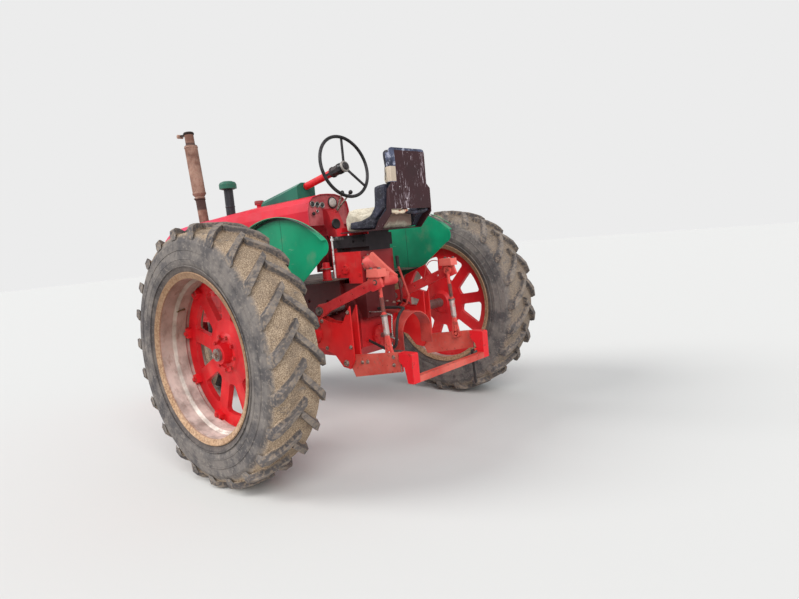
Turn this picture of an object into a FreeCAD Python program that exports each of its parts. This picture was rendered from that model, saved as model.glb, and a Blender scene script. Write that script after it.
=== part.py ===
import FreeCAD, Part
import math
import os

import Sketcher
from FreeCAD import Vector, Placement, Rotation

# Farm tractor with a narrow front, wide-set rear wheels and a two-arm rear hitch.
# +X points forward, +Y to the driver's left, +Z up, all lengths are millimetres.
# Shapes are drawn from the ground point under the rear axle; each piece's Placement
# moves it to the part's own frame, whose origin is the middle of the footprint.

document = FreeCAD.newDocument("farm_tractor")
sheet = document.addObject("Spreadsheet::Sheet", "sizes")

# Driving dimensions: alias, value
SIZES = (
    ("wheelbase", 2240),
    ("hitch_reach", 868),
    ("axle_height", 785),
    ("rear_track", 2270),
    ("rear_radius", 785),
    ("rear_width", 352),
    ("rear_rim_radius", 508),
    ("rear_rim_width", 330),
    ("barrel_step", 34),
    ("lug_count", 23),
    ("lug_height", 40),
    ("lug_width", 40),
    ("tread_width", 322),
    ("centre_offset", 72),
    ("spoke_count", 9),
    ("spoke_width", 86),
    ("hub_radius", 112),
    ("axle_radius", 38),
    ("trumpet_end", 520),
    ("trumpet_radius", 82),
    ("front_track", 300),
    ("front_radius", 362),
    ("front_width", 165),
    ("front_tyre_depth", 146),
    ("spindle_radius", 24),
    ("running_gap", 0.3),
    ("shaft_gap", 0.08),
    ("case_half_width", 172),
    ("case_floor", 560),
    ("engine_setback", 240),
    ("engine_length", 860),
    ("engine_half_width", 135),
    ("head_top", 1300),
    ("rail_run", 180),
    ("rail_height", 90),
    ("front_tyre_gap", 41),
    ("rail_gap", 196),
    ("sheet_wall", 3),
    ("plate_wall", 6),
    ("hood_half_width", 202),
    ("hood_rear", 190),
    ("nose_overhang", 260),
    ("hood_top_rear", 1748),
    ("hood_top_front", 1640),
    ("hood_skirt", 1440),
    ("deck_top", 1130),
    ("deck_half_width", 612),
    ("deck_setback", 400),
    ("fender_radius", 795),
    ("fender_lip", 42),
    ("column_radius", 27),
    ("wheel_rim_radius", 222),
    ("wheel_tube_radius", 12),
    ("seat_floor", 1440),
    ("seat_half_width", 205),
    ("seat_top", 1950),
    ("stack_setback", 281),
    ("stack_floor", 1520),
    ("stack_lean", 6),
    ("stack_radius", 44),
    ("pipe_length", 405),
    ("can_radius", 59),
    ("can_length", 464),
    ("neck_length", 106),
    ("stem_setback", 735),
    ("stem_radius", 40),
    ("cleaner_radius", 76),
    ("shaft_x", -60),
    ("shaft_z", 930),
    ("shaft_radius", 26),
    ("arm_end_x", -605),
    ("arm_end_z", 1120),
    ("arm_wall", 18),
    ("hitch_pin_x", -300),
    ("hitch_pin_z", 590),
    ("hitch_pin_radius", 12),
    ("link_pin_radius", 10),
    ("hitch_half_span", 376),
    ("hitch_plate_wall", 16),
    ("fin_gap", 48),
    ("fin_wall", 12),
    ("rod_foot_x", -640),
    ("rod_foot_z", 664),
    ("rod_radius", 12),
    ("pto_height", 700),
    ("pto_radius", 17.5),
    ("kingpin_radius", 42),
)
for row, (alias, value) in enumerate(SIZES, 1):
    sheet.set("A%d" % row, alias)
    sheet.set("B%d" % row, str(value))
    sheet.setAlias("B%d" % row, alias)
document.recompute()


class Size:
    """A length that knows both its value and the sheet expression it comes from."""

    def __init__(self, value, text):
        self.value = float(value)
        self.text = text

    def __add__(self, other):
        other = size(other)
        return Size(self.value + other.value, "(%s + %s)" % (self.text, other.text))

    def __sub__(self, other):
        other = size(other)
        return Size(self.value - other.value, "(%s - %s)" % (self.text, other.text))

    def __mul__(self, factor):
        return Size(self.value * factor, "(%s * %.6g)" % (self.text, factor))

    def __neg__(self):
        return self * -1

    def __truediv__(self, divisor):
        return self * (1.0 / divisor)

    __radd__ = __add__
    __rmul__ = __mul__

    def __rsub__(self, other):
        return -self + other

    def __float__(self):
        return self.value


def size(number):
    if isinstance(number, Size):
        return number
    return Size(number, "(%.6g)" % number)


class Sheet:
    """Reads a named size of the spreadsheet."""

    def __getattr__(self, alias):
        return Size(getattr(sheet, alias), "sizes." + alias)


S = Sheet()
axle_x = (S.hitch_reach - S.wheelbase - S.front_radius) / 2
lift = S.rear_radius - S.axle_height
pieces = []
starts = {}


def bind(item, prop, length):
    length = size(length)
    setattr(item, prop, length.value)
    item.setExpression(prop, length.text)


def finish(item, label, at=(0, 0, 0), turn=None, grounded=False):
    """Gives a piece its name and its place in the part's frame.

    The chassis rides at the height of the rear axle; a grounded piece is placed from
    the ground itself.
    """
    item.Label = label
    start = starts.get(item.Name, (0, 0, 0))
    base = [size(a) + b for a, b in zip(at, start)]
    base[0] = base[0] + axle_x
    if not grounded:
        base[2] = base[2] + lift
    rotation = turn if turn else item.Placement.Rotation
    item.Placement = Placement(Vector(*[float(c) for c in base]), rotation)
    for axis, length in zip("xyz", base):
        item.setExpression("Placement.Base." + axis, length.text)
    pieces.append(item)
    return item


def origin_plane(body, role):
    return next(f for f in body.Origin.OriginFeatures if f.Role == role)


def draw(sketch, outline, circles=()):
    """Closed outline of (x, y) or (x, y, via x, via y) arcs, plus round holes (x, y, r)."""
    count = len(outline)
    first = sketch.GeometryCount
    ends = []
    for index in range(count):
        start = outline[index - 1]
        stop = outline[index]
        a = Vector(float(start[0]), float(start[1]), 0)
        b = Vector(float(stop[0]), float(stop[1]), 0)
        if len(stop) == 4:
            via = Vector(float(stop[2]), float(stop[3]), 0)
            line = sketch.addGeometry(Part.Arc(a, via, b))
        else:
            line = sketch.addGeometry(Part.LineSegment(a, b))
        near = sketch.getPoint(line, 1).distanceToPoint(a) < 1e-6
        ends.append((line, 1 if near else 2, 2 if near else 1))
    for index in range(count):
        line, head, tail = ends[index]
        following, next_head, _ = ends[(index + 1) % count]
        sketch.addConstraint(Sketcher.Constraint("Coincident", line, tail, following, next_head))
        pin(sketch, line, tail, outline[index][0], outline[index][1])
    for x, y, radius in circles:
        centre = Vector(float(x), float(y), 0)
        ring = sketch.addGeometry(Part.Circle(centre, Vector(0, 0, 1), float(radius)))
        pin(sketch, ring, 3, x, y)
        number = sketch.addConstraint(Sketcher.Constraint("Radius", ring, float(radius)))
        sketch.setExpression("Constraints[%d]" % number, size(radius).text)
    return first


def pin(sketch, line, end, x, y):
    """Holds one point of a sketch at its sheet-driven coordinates."""
    for kind, axis, length in (("DistanceX", -2, size(x)), ("DistanceY", -1, size(y))):
        if abs(length.value) < 1e-9:
            sketch.addConstraint(Sketcher.Constraint("PointOnObject", line, end, axis))
            continue
        rule = Sketcher.Constraint(kind, -1, 1, line, end, length.value)
        number = sketch.addConstraint(rule)
        sketch.setExpression("Constraints[%d]" % number, length.text)


def sketch_in(body, role, depth=0):
    sketch = body.newObject("Sketcher::SketchObject", body.Name + "_sketch")
    sketch.AttachmentSupport = [(origin_plane(body, role), "")]
    sketch.MapMode = "FlatFace"
    depth = size(depth)
    sketch.AttachmentOffset = Placement(Vector(0, 0, depth.value), Rotation())
    sketch.setExpression("AttachmentOffset.Base.z", depth.text)
    return sketch


def slab(name, role, outline, face, thickness, circles=()):
    """A plate padded from one origin plane; face is its front face along the normal.

    Plates in XZ have their left face (+Y) at face, those in XY and YZ their lower
    or rear face.
    """
    body = document.addObject("PartDesign::Body", name)
    depth = -size(face) if role == "XZ_Plane" else size(face)
    sketch = sketch_in(body, role, depth)
    draw(sketch, outline, circles)
    pad = body.newObject("PartDesign::Pad", name + "_pad")
    pad.Profile = sketch
    bind(pad, "Length", thickness)
    sketch.Visibility = False
    return body


def turned(name, profile, full=360):
    """A revolved piece: (radius, height) outline about the Z axis."""
    body = document.addObject("PartDesign::Body", name)
    sketch = sketch_in(body, "XZ_Plane")
    draw(sketch, profile)
    spin = body.newObject("PartDesign::Revolution", name + "_spin")
    spin.Profile = sketch
    spin.ReferenceAxis = (sketch, ["V_Axis"])
    spin.Angle = full
    return body


def cylinder(name, radius, length, at, axis="z"):
    item = document.addObject("Part::Cylinder", name)
    bind(item, "Radius", radius)
    bind(item, "Height", length)
    turns = {"z": Rotation(), "x": Rotation(Vector(0, 1, 0), 90), "y": Rotation(Vector(1, 0, 0), -90)}
    item.Placement = Placement(Vector(*[float(c) for c in at]), turns[axis])
    starts[item.Name] = at
    for letter, length in zip("xyz", at):
        item.setExpression("Placement.Base." + letter, size(length).text)
    return item


def box(name, low, high):
    item = document.addObject("Part::Box", name)
    for prop, a, b in zip(("Length", "Width", "Height"), low, high):
        bind(item, prop, size(b) - size(a))
    item.Placement = Placement(Vector(*[float(c) for c in low]), Rotation())
    starts[item.Name] = low
    for letter, length in zip("xyz", low):
        item.setExpression("Placement.Base." + letter, size(length).text)
    return item


def fuse(name, items):
    joined = document.addObject("Part::MultiFuse", name)
    joined.Shapes = items
    joined.Refine = True
    return joined


def cut(name, base, tool):
    trimmed = document.addObject("Part::Cut", name)
    trimmed.Base = base
    trimmed.Tool = tool
    trimmed.Refine = True
    return trimmed


def solid(name, shape):
    item = document.addObject("Part::Feature", name)
    item.Shape = shape
    return item


def rod(a, b, radius):
    """A round bar between two points."""
    a = Vector(*[float(c) for c in a])
    b = Vector(*[float(c) for c in b])
    return Part.makeCylinder(float(radius), (b - a).Length, a, b - a)


SIDES = (("left", 1), ("right", -1))
Y_AXIS = {1: Rotation(Vector(1, 0, 0), -90), -1: Rotation(Vector(1, 0, 0), 90)}


def prism(points, low, high):
    """An outline of (x, z) points given a thickness from low to high along Y."""
    corners = [Vector(float(x), float(low), float(z)) for x, z in points]
    face = Part.Face(Part.makePolygon(corners + corners[:1]))
    return face.extrude(Vector(0, float(high) - float(low), 0))


def upright(x, y, low, high, radius):
    return rod((x, y, low), (x, y, high), radius)


# Rear tyres: a rounded casing with two staggered rows of curved bars
half = S.rear_width / 2
tread = S.rear_radius - S.lug_height
barrel = S.rear_rim_radius - S.barrel_step
bead = S.rear_rim_width / 2 - 22.5
flank = tread - S.rear_rim_radius
casing_profile = (
    (barrel + S.plate_wall + 3.3, -bead),
    (S.rear_rim_radius + 7, -bead - 13),
    (S.rear_rim_radius + flank * 0.3, -half),
    (tread - flank * 0.25, -half * 0.97),
    (tread - flank * 0.07, -half * 0.84),
    (tread, -half * 0.4),
    (tread, half * 0.4),
    (tread - flank * 0.07, half * 0.84),
    (tread - flank * 0.25, half * 0.97),
    (S.rear_rim_radius + flank * 0.3, half),
    (S.rear_rim_radius + 7, bead + 13),
    (barrel + S.plate_wall + 3.3, bead),
)
# Bar stations: share of the half tread, angle swept back, drop of the top, swell
LUG_PATH = ((-0.09, 0, 0, 0.9), (0.5, 6.8, 1, 1.0), (0.84, 10.8, 9, 1.05), (1.0, 12.7, 24, 1.1), (1.04, 13.2, 76, 0.8))


def lug(side):
    """One bar: from the middle of the tread, sweeping back over the shoulder."""
    outer = float(S.rear_radius)
    sections = []
    for share, sweep, fall, swell in LUG_PATH:
        top = outer - fall
        foot = min(top - 6, outer - float(S.lug_height) - 14)
        points = []
        for radius, spread in ((foot, 1.35), (top, 0.9)):
            for way in (-1, 1):
                turn = math.radians(sweep) + way * float(S.lug_width) * swell * spread / 1.6 / radius
                across = side * share * float(S.tread_width) / 2
                points.append(Vector(radius * math.cos(turn), radius * math.sin(turn), across))
        a, b, c, d = points
        sections.append(Part.makePolygon([a, b, d, c, a]))
    return Part.makeLoft(sections, True, True)


def rear_tyre():
    points = [Vector(float(r), 0, float(z)) for r, z in casing_profile]
    casing = Part.Face(Part.makePolygon(points + points[:1])).revolve(Vector(), Vector(0, 0, 1), 360)
    pitch = 360.0 / float(S.lug_count)
    bars = []
    for side, start in ((1, 148), (-1, 152.5)):
        bar = lug(side)
        for index in range(int(S.lug_count.value)):
            copy = bar.copy()
            copy.rotate(Vector(), Vector(0, 0, 1), start + index * pitch)
            bars.append(copy)
    return casing.fuse(bars).removeSplitter()


tyre_shape = rear_tyre()

# Rear rims: a broad steel barrel with a stepped drop centre and rolled flanges
rim_half = S.rear_rim_width / 2
wall = S.plate_wall
drop = 16
rim_profile = (
    (barrel, -rim_half + 14),
    (S.rear_rim_radius, -rim_half),
    (S.rear_rim_radius + 5, -rim_half + 5),
    (S.rear_rim_radius - 2, -rim_half + 12),
    (barrel + wall + 3, -rim_half + 22),
    (barrel + wall, -34),
    (barrel + wall - drop, -20),
    (barrel + wall - drop, 48),
    (barrel + wall, 66),
    (barrel + wall + 3, rim_half - 22),
    (S.rear_rim_radius - 2, rim_half - 12),
    (S.rear_rim_radius + 5, rim_half - 5),
    (S.rear_rim_radius, rim_half),
    (barrel, rim_half - 14),
    (barrel, 64),
    (barrel - drop, 46),
    (barrel - drop, -18),
    (barrel, -32),
)

# Cast wheel centres: recessed hub, flat spokes and an outer ring with clamping lugs
ring_out = barrel - S.running_gap
ring_in = ring_out - 75
disc_profile = (
    (S.axle_radius + S.running_gap, -62),
    (S.hub_radius - 32, -62),
    (S.hub_radius - 8, -34),
    (S.hub_radius + 78, -14),
    (ring_in, -16),
    (ring_out, -22),
    (ring_out, 22),
    (ring_in, 16),
    (S.hub_radius + 88, 22),
    (S.hub_radius + 14, 40),
    (S.hub_radius, 54),
    (S.hub_radius - 18, 54),
    (S.hub_radius - 24, 40),
    (S.axle_radius + 28, 40),
    (S.axle_radius + 22, 92),
    (S.axle_radius + S.running_gap, 92),
)


def window():
    """One opening between two spokes, in the plane of the disc."""
    step = math.pi / float(S.spoke_count)
    outer = float(ring_in) - 2
    inner = float(S.hub_radius) + 90
    gap_out = step - float(S.spoke_width) / 2 / outer
    gap_in = step - float(S.spoke_width) / 2 / inner
    corners = [Vector(outer * math.cos(t), outer * math.sin(t), 0) for t in (-gap_out, 0, gap_out)]
    lower = [Vector(inner * math.cos(t), inner * math.sin(t), 0) for t in (gap_in, 0, -gap_in)]
    edges = [
        Part.Arc(*corners).toShape(),
        Part.makeLine(corners[2], lower[0]),
        Part.Arc(*lower).toShape(),
        Part.makeLine(lower[2], corners[0]),
    ]
    block = Part.Face(Part.Wire(edges)).extrude(Vector(0, 0, 400))
    block.translate(Vector(0, 0, -200))
    uprights = [e for e in block.Edges if abs(e.tangentAt(e.FirstParameter).z) > 0.99]
    return block.makeFillet(min(22, inner * gap_in * 0.8), uprights)


def wheel_centre():
    points = [Vector(float(r), 0, float(z)) for r, z in disc_profile]
    disc = Part.Face(Part.makePolygon(points + points[:1])).revolve(Vector(), Vector(0, 0, 1), 360)
    step = 360.0 / float(S.spoke_count)
    within = Part.makeCylinder(float(ring_out), 38)
    inside = Part.makeCylinder(float(ring_out) - drop, 60)
    holes = []
    blocks = []
    for index in range(int(S.spoke_count.value)):
        hole = window()
        hole.rotate(Vector(), Vector(0, 0, 1), 13 + (index + 0.5) * step)
        holes.append(hole)
        block = Part.makeBox(48, 60, 42, Vector(float(ring_out) - 46, -30, 14))
        block.rotate(Vector(), Vector(0, 0, 1), 13 + index * step)
        blocks += [block.common(within), block.common(inside)]
    return disc.cut(holes).fuse(blocks).removeSplitter()


centre_shape = wheel_centre()
centre_y = S.rear_track / 2 - S.centre_offset

for name, way in SIDES:
    middle = (0, S.rear_track * way / 2, S.axle_height)
    faced = [shape.mirror(Vector(), Vector(0, 1, 0)) if way > 0 else shape for shape in (tyre_shape, centre_shape)]
    tyre = solid("rear_casing_" + name, faced[0])
    finish(tyre, "rear_tyre_" + name, middle, Y_AXIS[way])
    rim = turned("rear_barrel_" + name, rim_profile)
    finish(rim, "rear_rim_" + name, middle, Y_AXIS[way])
    plate = solid("cast_centre_" + name, faced[1])
    finish(plate, "wheel_centre_" + name, (0, centre_y * way, S.axle_height), Y_AXIS[way])
    start = S.trumpet_end - 60
    shaft = cylinder("half_shaft_" + name, S.axle_radius, centre_y + 110 - start, (0, 0, 0), "z")
    finish(shaft, "axle_shaft_" + name, (0, start * way, S.axle_height), Y_AXIS[way])

# Axle housings: flanged trumpets from the rear case out to the axle seals
trumpet_profile = (
    (S.axle_radius + S.running_gap, S.trumpet_end - 64),
    (S.axle_radius + S.running_gap, S.trumpet_end),
    (S.trumpet_radius + 22, S.trumpet_end),
    (S.trumpet_radius + 22, S.trumpet_end - 26),
    (S.trumpet_radius, S.trumpet_end - 34),
    (S.trumpet_radius, S.case_half_width + 120),
    (S.trumpet_radius + 16, S.case_half_width + 40),
    (S.trumpet_radius + 40, S.case_half_width + 22),
    (S.trumpet_radius + 40, S.case_half_width),
    (0, S.case_half_width),
    (0, S.trumpet_end - 64),
)
for name, way in SIDES:
    trumpet = turned("trumpet_" + name, trumpet_profile)
    finish(trumpet, "axle_housing_" + name, (0, 0, S.axle_height), Y_AXIS[way])

# Rear case: the gearbox and final drive casting, bored for the rockshaft
case_half = S.case_half_width
case_front = S.wheelbase / 4
rail_floor = S.front_radius * 2 + S.front_tyre_gap
case_top = S.deck_top - S.plate_wall
case_rear = -215
pto_face = case_rear - 30
case = slab("case_mass", "XZ_Plane", (
    (case_rear, 640), (case_rear, 860), (-140, 1000), (-40, 1000), (-40, case_top), (case_front, case_top),
    (case_front, 620), (330, S.case_floor), (-110, S.case_floor),
), case_half, case_half * 2)
shaft_boss = cylinder("shaft_boss", S.pto_radius + 58, case_rear - pto_face, (pto_face, 0, S.pto_height), "x")
case_bosses = [
    cylinder("case_boss_" + name, S.shaft_radius + 8, 14, (S.shaft_x, way * case_half - 7 + way * 7, S.shaft_z), "y")
    for name, way in SIDES
]
case_bore = cylinder("case_bore", S.shaft_radius + S.shaft_gap, case_half * 2 + 60,
                     (S.shaft_x, -case_half - 30, S.shaft_z), "y")
finish(cut("case_bored", fuse("case_casting", [case, shaft_boss] + case_bosses), case_bore), "rear_case")

# Clutch housing between the case and the engine, with the pads that carry the rails
engine_front = S.wheelbase - S.engine_setback
engine_rear = engine_front - S.engine_length
rail_rear = engine_rear - S.rail_run
deck_front = engine_rear - S.deck_setback
clutch = slab("clutch", "XZ_Plane", (
    (case_front, 620), (case_front, case_top), (deck_front + 60, case_top), (engine_rear, case_top + 26),
    (engine_rear, 640),
), case_half - 22, case_half * 2 - 44)
pads = box("rail_pads", (rail_rear, -S.rail_gap, rail_floor),
           (rail_rear + 150, S.rail_gap, rail_floor + S.rail_height))
# Two pedals hang in front of the deck: an arm, a pad leaning back
pedals = []
for name, way in SIDES:
    pivot = (deck_front + 62, way * (case_half - 30), S.deck_top - 90)
    knee = (deck_front + 62, way * (case_half + 46), S.deck_top - 90)
    ankle = (deck_front + 40, way * (case_half + 46), S.deck_top + 110)
    foot = prism(((deck_front + 12, S.deck_top + 92), (deck_front + 22, S.deck_top + 84),
                  (deck_front + 62, S.deck_top + 150), (deck_front + 52, S.deck_top + 158)),
                 way * (case_half + 46) - 40, way * (case_half + 46) + 40)
    pedals.append(solid("pedal_" + name, rod(pivot, knee, 14).fuse([rod(knee, ankle, 10), foot])))
finish(fuse("clutch_mass", [clutch, pads] + pedals), "clutch_housing")

# Engine: block, head, valve cover and pan, with what hangs on its sides
wide = S.engine_half_width
cover_top = S.head_top + 72
block = box("block", (engine_rear, -wide, rail_floor - 5), (engine_front, wide, S.head_top - 110))
pan = slab("pan", "XZ_Plane", (
    (engine_rear, rail_floor - 5), (engine_front - 210, rail_floor - 5), (engine_front - 240, rail_floor - 145),
    (engine_front - 380, rail_floor - 245), (engine_rear + 60, rail_floor - 225),
), wide - 15, wide * 2 - 30)
head = box("head", (engine_rear + 30, -wide + 17, S.head_top - 110), (engine_front - 30, wide - 17, S.head_top))
cover = slab("valve_cover", "YZ_Plane", (
    (45 - wide, S.head_top), (45 - wide, cover_top - 30), (75 - wide, cover_top), (wide - 75, cover_top),
    (wide - 45, cover_top - 30), (wide - 45, S.head_top),
), engine_rear + 50, S.engine_length - 100)
side_plate = box("side_plate", (engine_rear + 70, wide, rail_floor + 125),
                 (engine_front - 70, wide + 9, S.head_top - 140))
filter_can = cylinder("oil_can", 50, 190, (engine_rear + 170, wide + 46, rail_floor + 130))
distributor = cylinder("distributor", 40, 150, (engine_front - 200, wide + 34, S.head_top - 180))
intake = box("carburettor", (engine_rear + 420, wide, S.head_top - 235), (engine_rear + 520, wide + 96, S.head_top - 120))
bowl = cylinder("carburettor_bowl", 36, 60, (engine_rear + 470, wide + 56, S.head_top - 295))
starter = cylinder("starter", 46, 240, (engine_rear + 20, -wide - 38, rail_floor + 165), "x")
generator = cylinder("generator", 56, 220, (engine_front - 240, -wide - 58, S.head_top - 215), "x")
bracket = box("generator_bracket", (engine_front - 200, -wide - 20, S.head_top - 275),
              (engine_front - 100, -wide, S.head_top - 215))
pulley = cylinder("crank_pulley", 72, 24, (engine_front, 0, rail_floor + 55), "x")
fan_hub = cylinder("fan_hub", 44, 24, (engine_front, 0, rail_floor + 335), "x")
blades = []
for index in range(4):
    blade = Part.makeBox(6, 88, 150, Vector(float(engine_front) + 12, -44, 36))
    blade.rotate(Vector(float(engine_front) + 15, 0, 100), Vector(0, 0, 1), 12)
    blade.rotate(Vector(), Vector(1, 0, 0), 45 + 90 * index)
    blade.translate(Vector(0, 0, float(rail_floor) + 335))
    blades.append(solid("fan_blade_%d" % index, blade))
engine = fuse("engine_mass", [block, pan, head, cover, side_plate, filter_can, distributor, intake, bowl,
                              starter, generator, bracket, pulley, fan_hub] + blades)
finish(engine, "engine_block")

# Exhaust manifold along the right of the head, with an elbow up to the leaning stack
stack_x = S.wheelbase - S.stack_setback
lean = Vector(math.sin(math.radians(float(S.stack_lean))), 0, math.cos(math.radians(float(S.stack_lean))))
stack_foot = Vector(float(stack_x), 0, float(S.stack_floor))
log_y = -(wide - 17 + 38 + S.running_gap)
log_z = S.head_top - 50
log = rod((engine_rear + 90, log_y, log_z), (engine_front - 10, log_y, log_z), 38)
ports = [
    prism(((x - 30, log_z - 30), (x + 30, log_z - 30), (x + 30, log_z + 30), (x - 30, log_z + 30)),
          log_y, -(wide - 17 + S.running_gap))
    for x in (engine_rear + 130, engine_rear + 330, engine_rear + 530, engine_rear + 730)
]
bend = Vector(float(stack_x) - 15, float(log_y), float(cover_top) + 48)
rise = rod((bend.x, log_y, log_z), bend, 34)
elbow = rod(bend, stack_foot - lean * 60, 34).fuse([rise, Part.makeSphere(34, bend)])
riser = rod(stack_foot - lean * 80, stack_foot - lean * float(S.running_gap), S.stack_radius - 2)
finish(solid("manifold", log.fuse(ports + [elbow, riser])), "exhaust_manifold")

# Frame rails: rolled channels from the clutch housing to the front bolster
for name, way in SIDES:
    outline = ((0, 0), (42 * way, 0), (42 * way, 10), (10 * way, 10), (10 * way, S.rail_height - 10),
               (42 * way, S.rail_height - 10), (42 * way, S.rail_height), (0, S.rail_height))
    rail = slab("rail_" + name, "YZ_Plane", outline, rail_rear, S.wheelbase - 90 - rail_rear)
    finish(rail, "frame_rail_" + name, (0, S.rail_gap * way, rail_floor))

# Front bolster: casting that carries the rails, the radiator and the steering post
bolster_top = rail_floor + S.rail_height + 40
bolster = slab("bolster_mass", "XZ_Plane", (
    (engine_front + 30, rail_floor), (engine_front + 30, bolster_top), (S.wheelbase + 90, bolster_top),
    (S.wheelbase + 90, rail_floor + 60), (S.wheelbase + 60, rail_floor),
), S.rail_gap, S.rail_gap * 2)
well = cylinder("kingpin_well", S.kingpin_radius + S.shaft_gap, 90, (S.wheelbase, 0, rail_floor))
finish(cut("bolster", bolster, well), "front_bolster")

# Steering spindle: the kingpin, its flared foot and the cross axle of the front wheels
hub_y = S.front_track / 2
rail_level = rail_floor + lift
post = cylinder("kingpin", S.kingpin_radius, rail_level + 80 - S.front_radius, (S.wheelbase, 0, S.front_radius))
cross = cylinder("cross_axle", S.spindle_radius, S.front_track + 60,
                 (S.wheelbase, -hub_y - 30, S.front_radius), "y")
foot = cylinder("cross_boss", S.kingpin_radius + 10, S.kingpin_radius * 2 + 12,
                (S.wheelbase, -S.kingpin_radius - 6, S.front_radius), "y")
collar = cylinder("kingpin_collar", S.kingpin_radius + 20, 26, (S.wheelbase, 0, rail_level - S.running_gap - 26))
finish(fuse("spindle", [post, cross, foot, collar]), "front_spindle", grounded=True)

# Front tyres and rims: narrow ribbed tyres on pressed discs
half = S.front_width / 2
front_rim = S.front_radius - S.front_tyre_depth
deep = S.front_tyre_depth
front_tyre_profile = (
    (front_rim - 8 + S.running_gap, -half * 0.66),
    (front_rim + 7, -half * 0.7),
    (front_rim + deep * 0.16, -half * 0.86),
    (S.front_radius - deep * 0.42, -half),
    (S.front_radius - deep * 0.15, -half * 0.8),
    (S.front_radius - deep * 0.11, -half * 0.34),
    (S.front_radius - 8, -half * 0.3),
    (S.front_radius - 8, -half * 0.16),
    (S.front_radius, -half * 0.13),
    (S.front_radius, half * 0.13),
    (S.front_radius - 8, half * 0.16),
    (S.front_radius - 8, half * 0.3),
    (S.front_radius - deep * 0.11, half * 0.34),
    (S.front_radius - deep * 0.15, half * 0.8),
    (S.front_radius - deep * 0.42, half),
    (front_rim + deep * 0.16, half * 0.86),
    (front_rim + 7, half * 0.7),
    (front_rim - 8 + S.running_gap, half * 0.66),
)
bore = S.spindle_radius + S.running_gap
front_rim_profile = (
    (bore, -24), (54, -24), (60, 8), (front_rim - 66, 16), (front_rim - 36, 10),
    (front_rim - 36, -26), (front_rim - 14, -32),
    (front_rim - 14, -half * 0.72), (front_rim + 4, -half * 0.82),
    (front_rim + 4, -half * 0.73), (front_rim - 8, -half * 0.7),
    (front_rim - 8, half * 0.7), (front_rim + 4, half * 0.73),
    (front_rim + 4, half * 0.82), (front_rim - 14, half * 0.72),
    (front_rim - 14, 30), (front_rim - 26, 22), (front_rim - 66, 24), (66, 16), (58, 40),
    (bore, 40),
)
for name, way in SIDES:
    middle = (S.wheelbase, hub_y * way, S.front_radius)
    casing = turned("front_casing_" + name, front_tyre_profile)
    finish(casing, "front_tyre_" + name, middle, Y_AXIS[way], True)
    disc = turned("front_disc_" + name, front_rim_profile)
    finish(disc, "front_rim_" + name, middle, Y_AXIS[way], True)

# Hood: a long thin-walled cover, rounded on top and closed at the nose
hood_front = S.wheelbase + S.nose_overhang
span = hood_front - S.hood_rear
hood_stations = (
    (0, 1.0, 0, 0), (0.37, 1.0, 0.20, 0), (0.8, 0.98, 0.70, 0), (0.94, 0.92, 0.88, 6), (1.0, 0.8, 1.0, 40),
)


def hood_section(x, half_width, top, skirt, inset):
    a = half_width - inset
    t = top - inset
    shoulder = t - 120
    points = [
        Vector(x, -a, skirt), Vector(x, -a, shoulder), Vector(x, -a * 0.93, t - 62), Vector(x, -a * 0.72, t - 22),
        Vector(x, -a * 0.36, t - 3), Vector(x, 0, t), Vector(x, a * 0.36, t - 3), Vector(x, a * 0.72, t - 22),
        Vector(x, a * 0.93, t - 62), Vector(x, a, shoulder), Vector(x, a, skirt),
    ]
    return Part.makePolygon(points + points[:1])


def hood_loft(inset, overrun):
    sections = []
    for share, width, fall, drop in hood_stations:
        x = float(S.hood_rear) + share * float(span)
        if share == 0:
            x -= overrun
        if share == 1:
            x -= inset
        top = float(S.hood_top_rear) + fall * (float(S.hood_top_front) - float(S.hood_top_rear)) - drop
        sections.append(hood_section(x, float(S.hood_half_width) * width, top,
                                     float(S.hood_skirt) - overrun, inset))
    return Part.makeLoft(sections, True, True)


def along_hood(x, column):
    """Half width (column 1) or share of the top's fall (column 2) at one place along the hood."""
    share = min(max((float(x) - float(S.hood_rear)) / float(span), 0), 1)
    for before, after in zip(hood_stations, hood_stations[1:]):
        if before[0] <= share <= after[0]:
            part = (share - before[0]) / (after[0] - before[0])
            return before[column] + (after[column] - before[column]) * part


def hood_side(x):
    return S.hood_half_width * along_hood(x, 1)


def hood_top(x):
    return S.hood_top_rear + (S.hood_top_front - S.hood_top_rear) * along_hood(x, 2)


gap = float(S.running_gap)
stem_x = S.wheelbase - S.stem_setback
stack_hole = Part.makeCylinder(float(S.stack_radius) + gap, 900, stack_foot - lean * 300, lean)
stem_hole = Part.makeCylinder(float(S.stem_radius) + gap, 900, Vector(float(stem_x), 0, float(cover_top) - 100))
hood = hood_loft(0, 0).cut([hood_loft(float(S.sheet_wall), 30), stack_hole, stem_hole])
filler_x = S.hood_rear + 870
filler_z = hood_top(filler_x)
filler = upright(filler_x, 0, filler_z - S.sheet_wall, filler_z + 26, 24)
filler = filler.fuse(upright(filler_x, 0, filler_z + 26, filler_z + 54, 38))
finish(solid("hood_shell", hood.fuse(filler)), "hood")

# Radiator with its tanks, and the slotted grille below the hood's nose
lining = hood_side(S.wheelbase - 40) - S.sheet_wall - S.running_gap
core = box("core", (S.wheelbase - 104, -lining + 14, bolster_top), (S.wheelbase - 46, lining - 14, S.hood_skirt + 40))
tank = box("top_tank", (S.wheelbase - 110, -lining, S.hood_skirt + 20), (S.wheelbase - 40, lining, S.hood_skirt + 100))
sump = box("bottom_tank", (S.wheelbase - 110, -lining, bolster_top), (S.wheelbase - 40, lining, bolster_top + 60))
finish(fuse("radiator_mass", [core, tank, sump]), "radiator")
grille_half = S.hood_half_width - 54
grille_low = bolster_top
grille_front = hood_front - 30
grille = prism((
    (S.wheelbase + 50, grille_low), (S.wheelbase + 80, S.hood_skirt + 60), (grille_front, S.hood_skirt + 60),
    (grille_front, S.hood_skirt - 120), (grille_front - 80, grille_low),
), -grille_half, grille_half)
slots = []
slot_count = 9
pitch = float(grille_half) * 2 / slot_count
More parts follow.
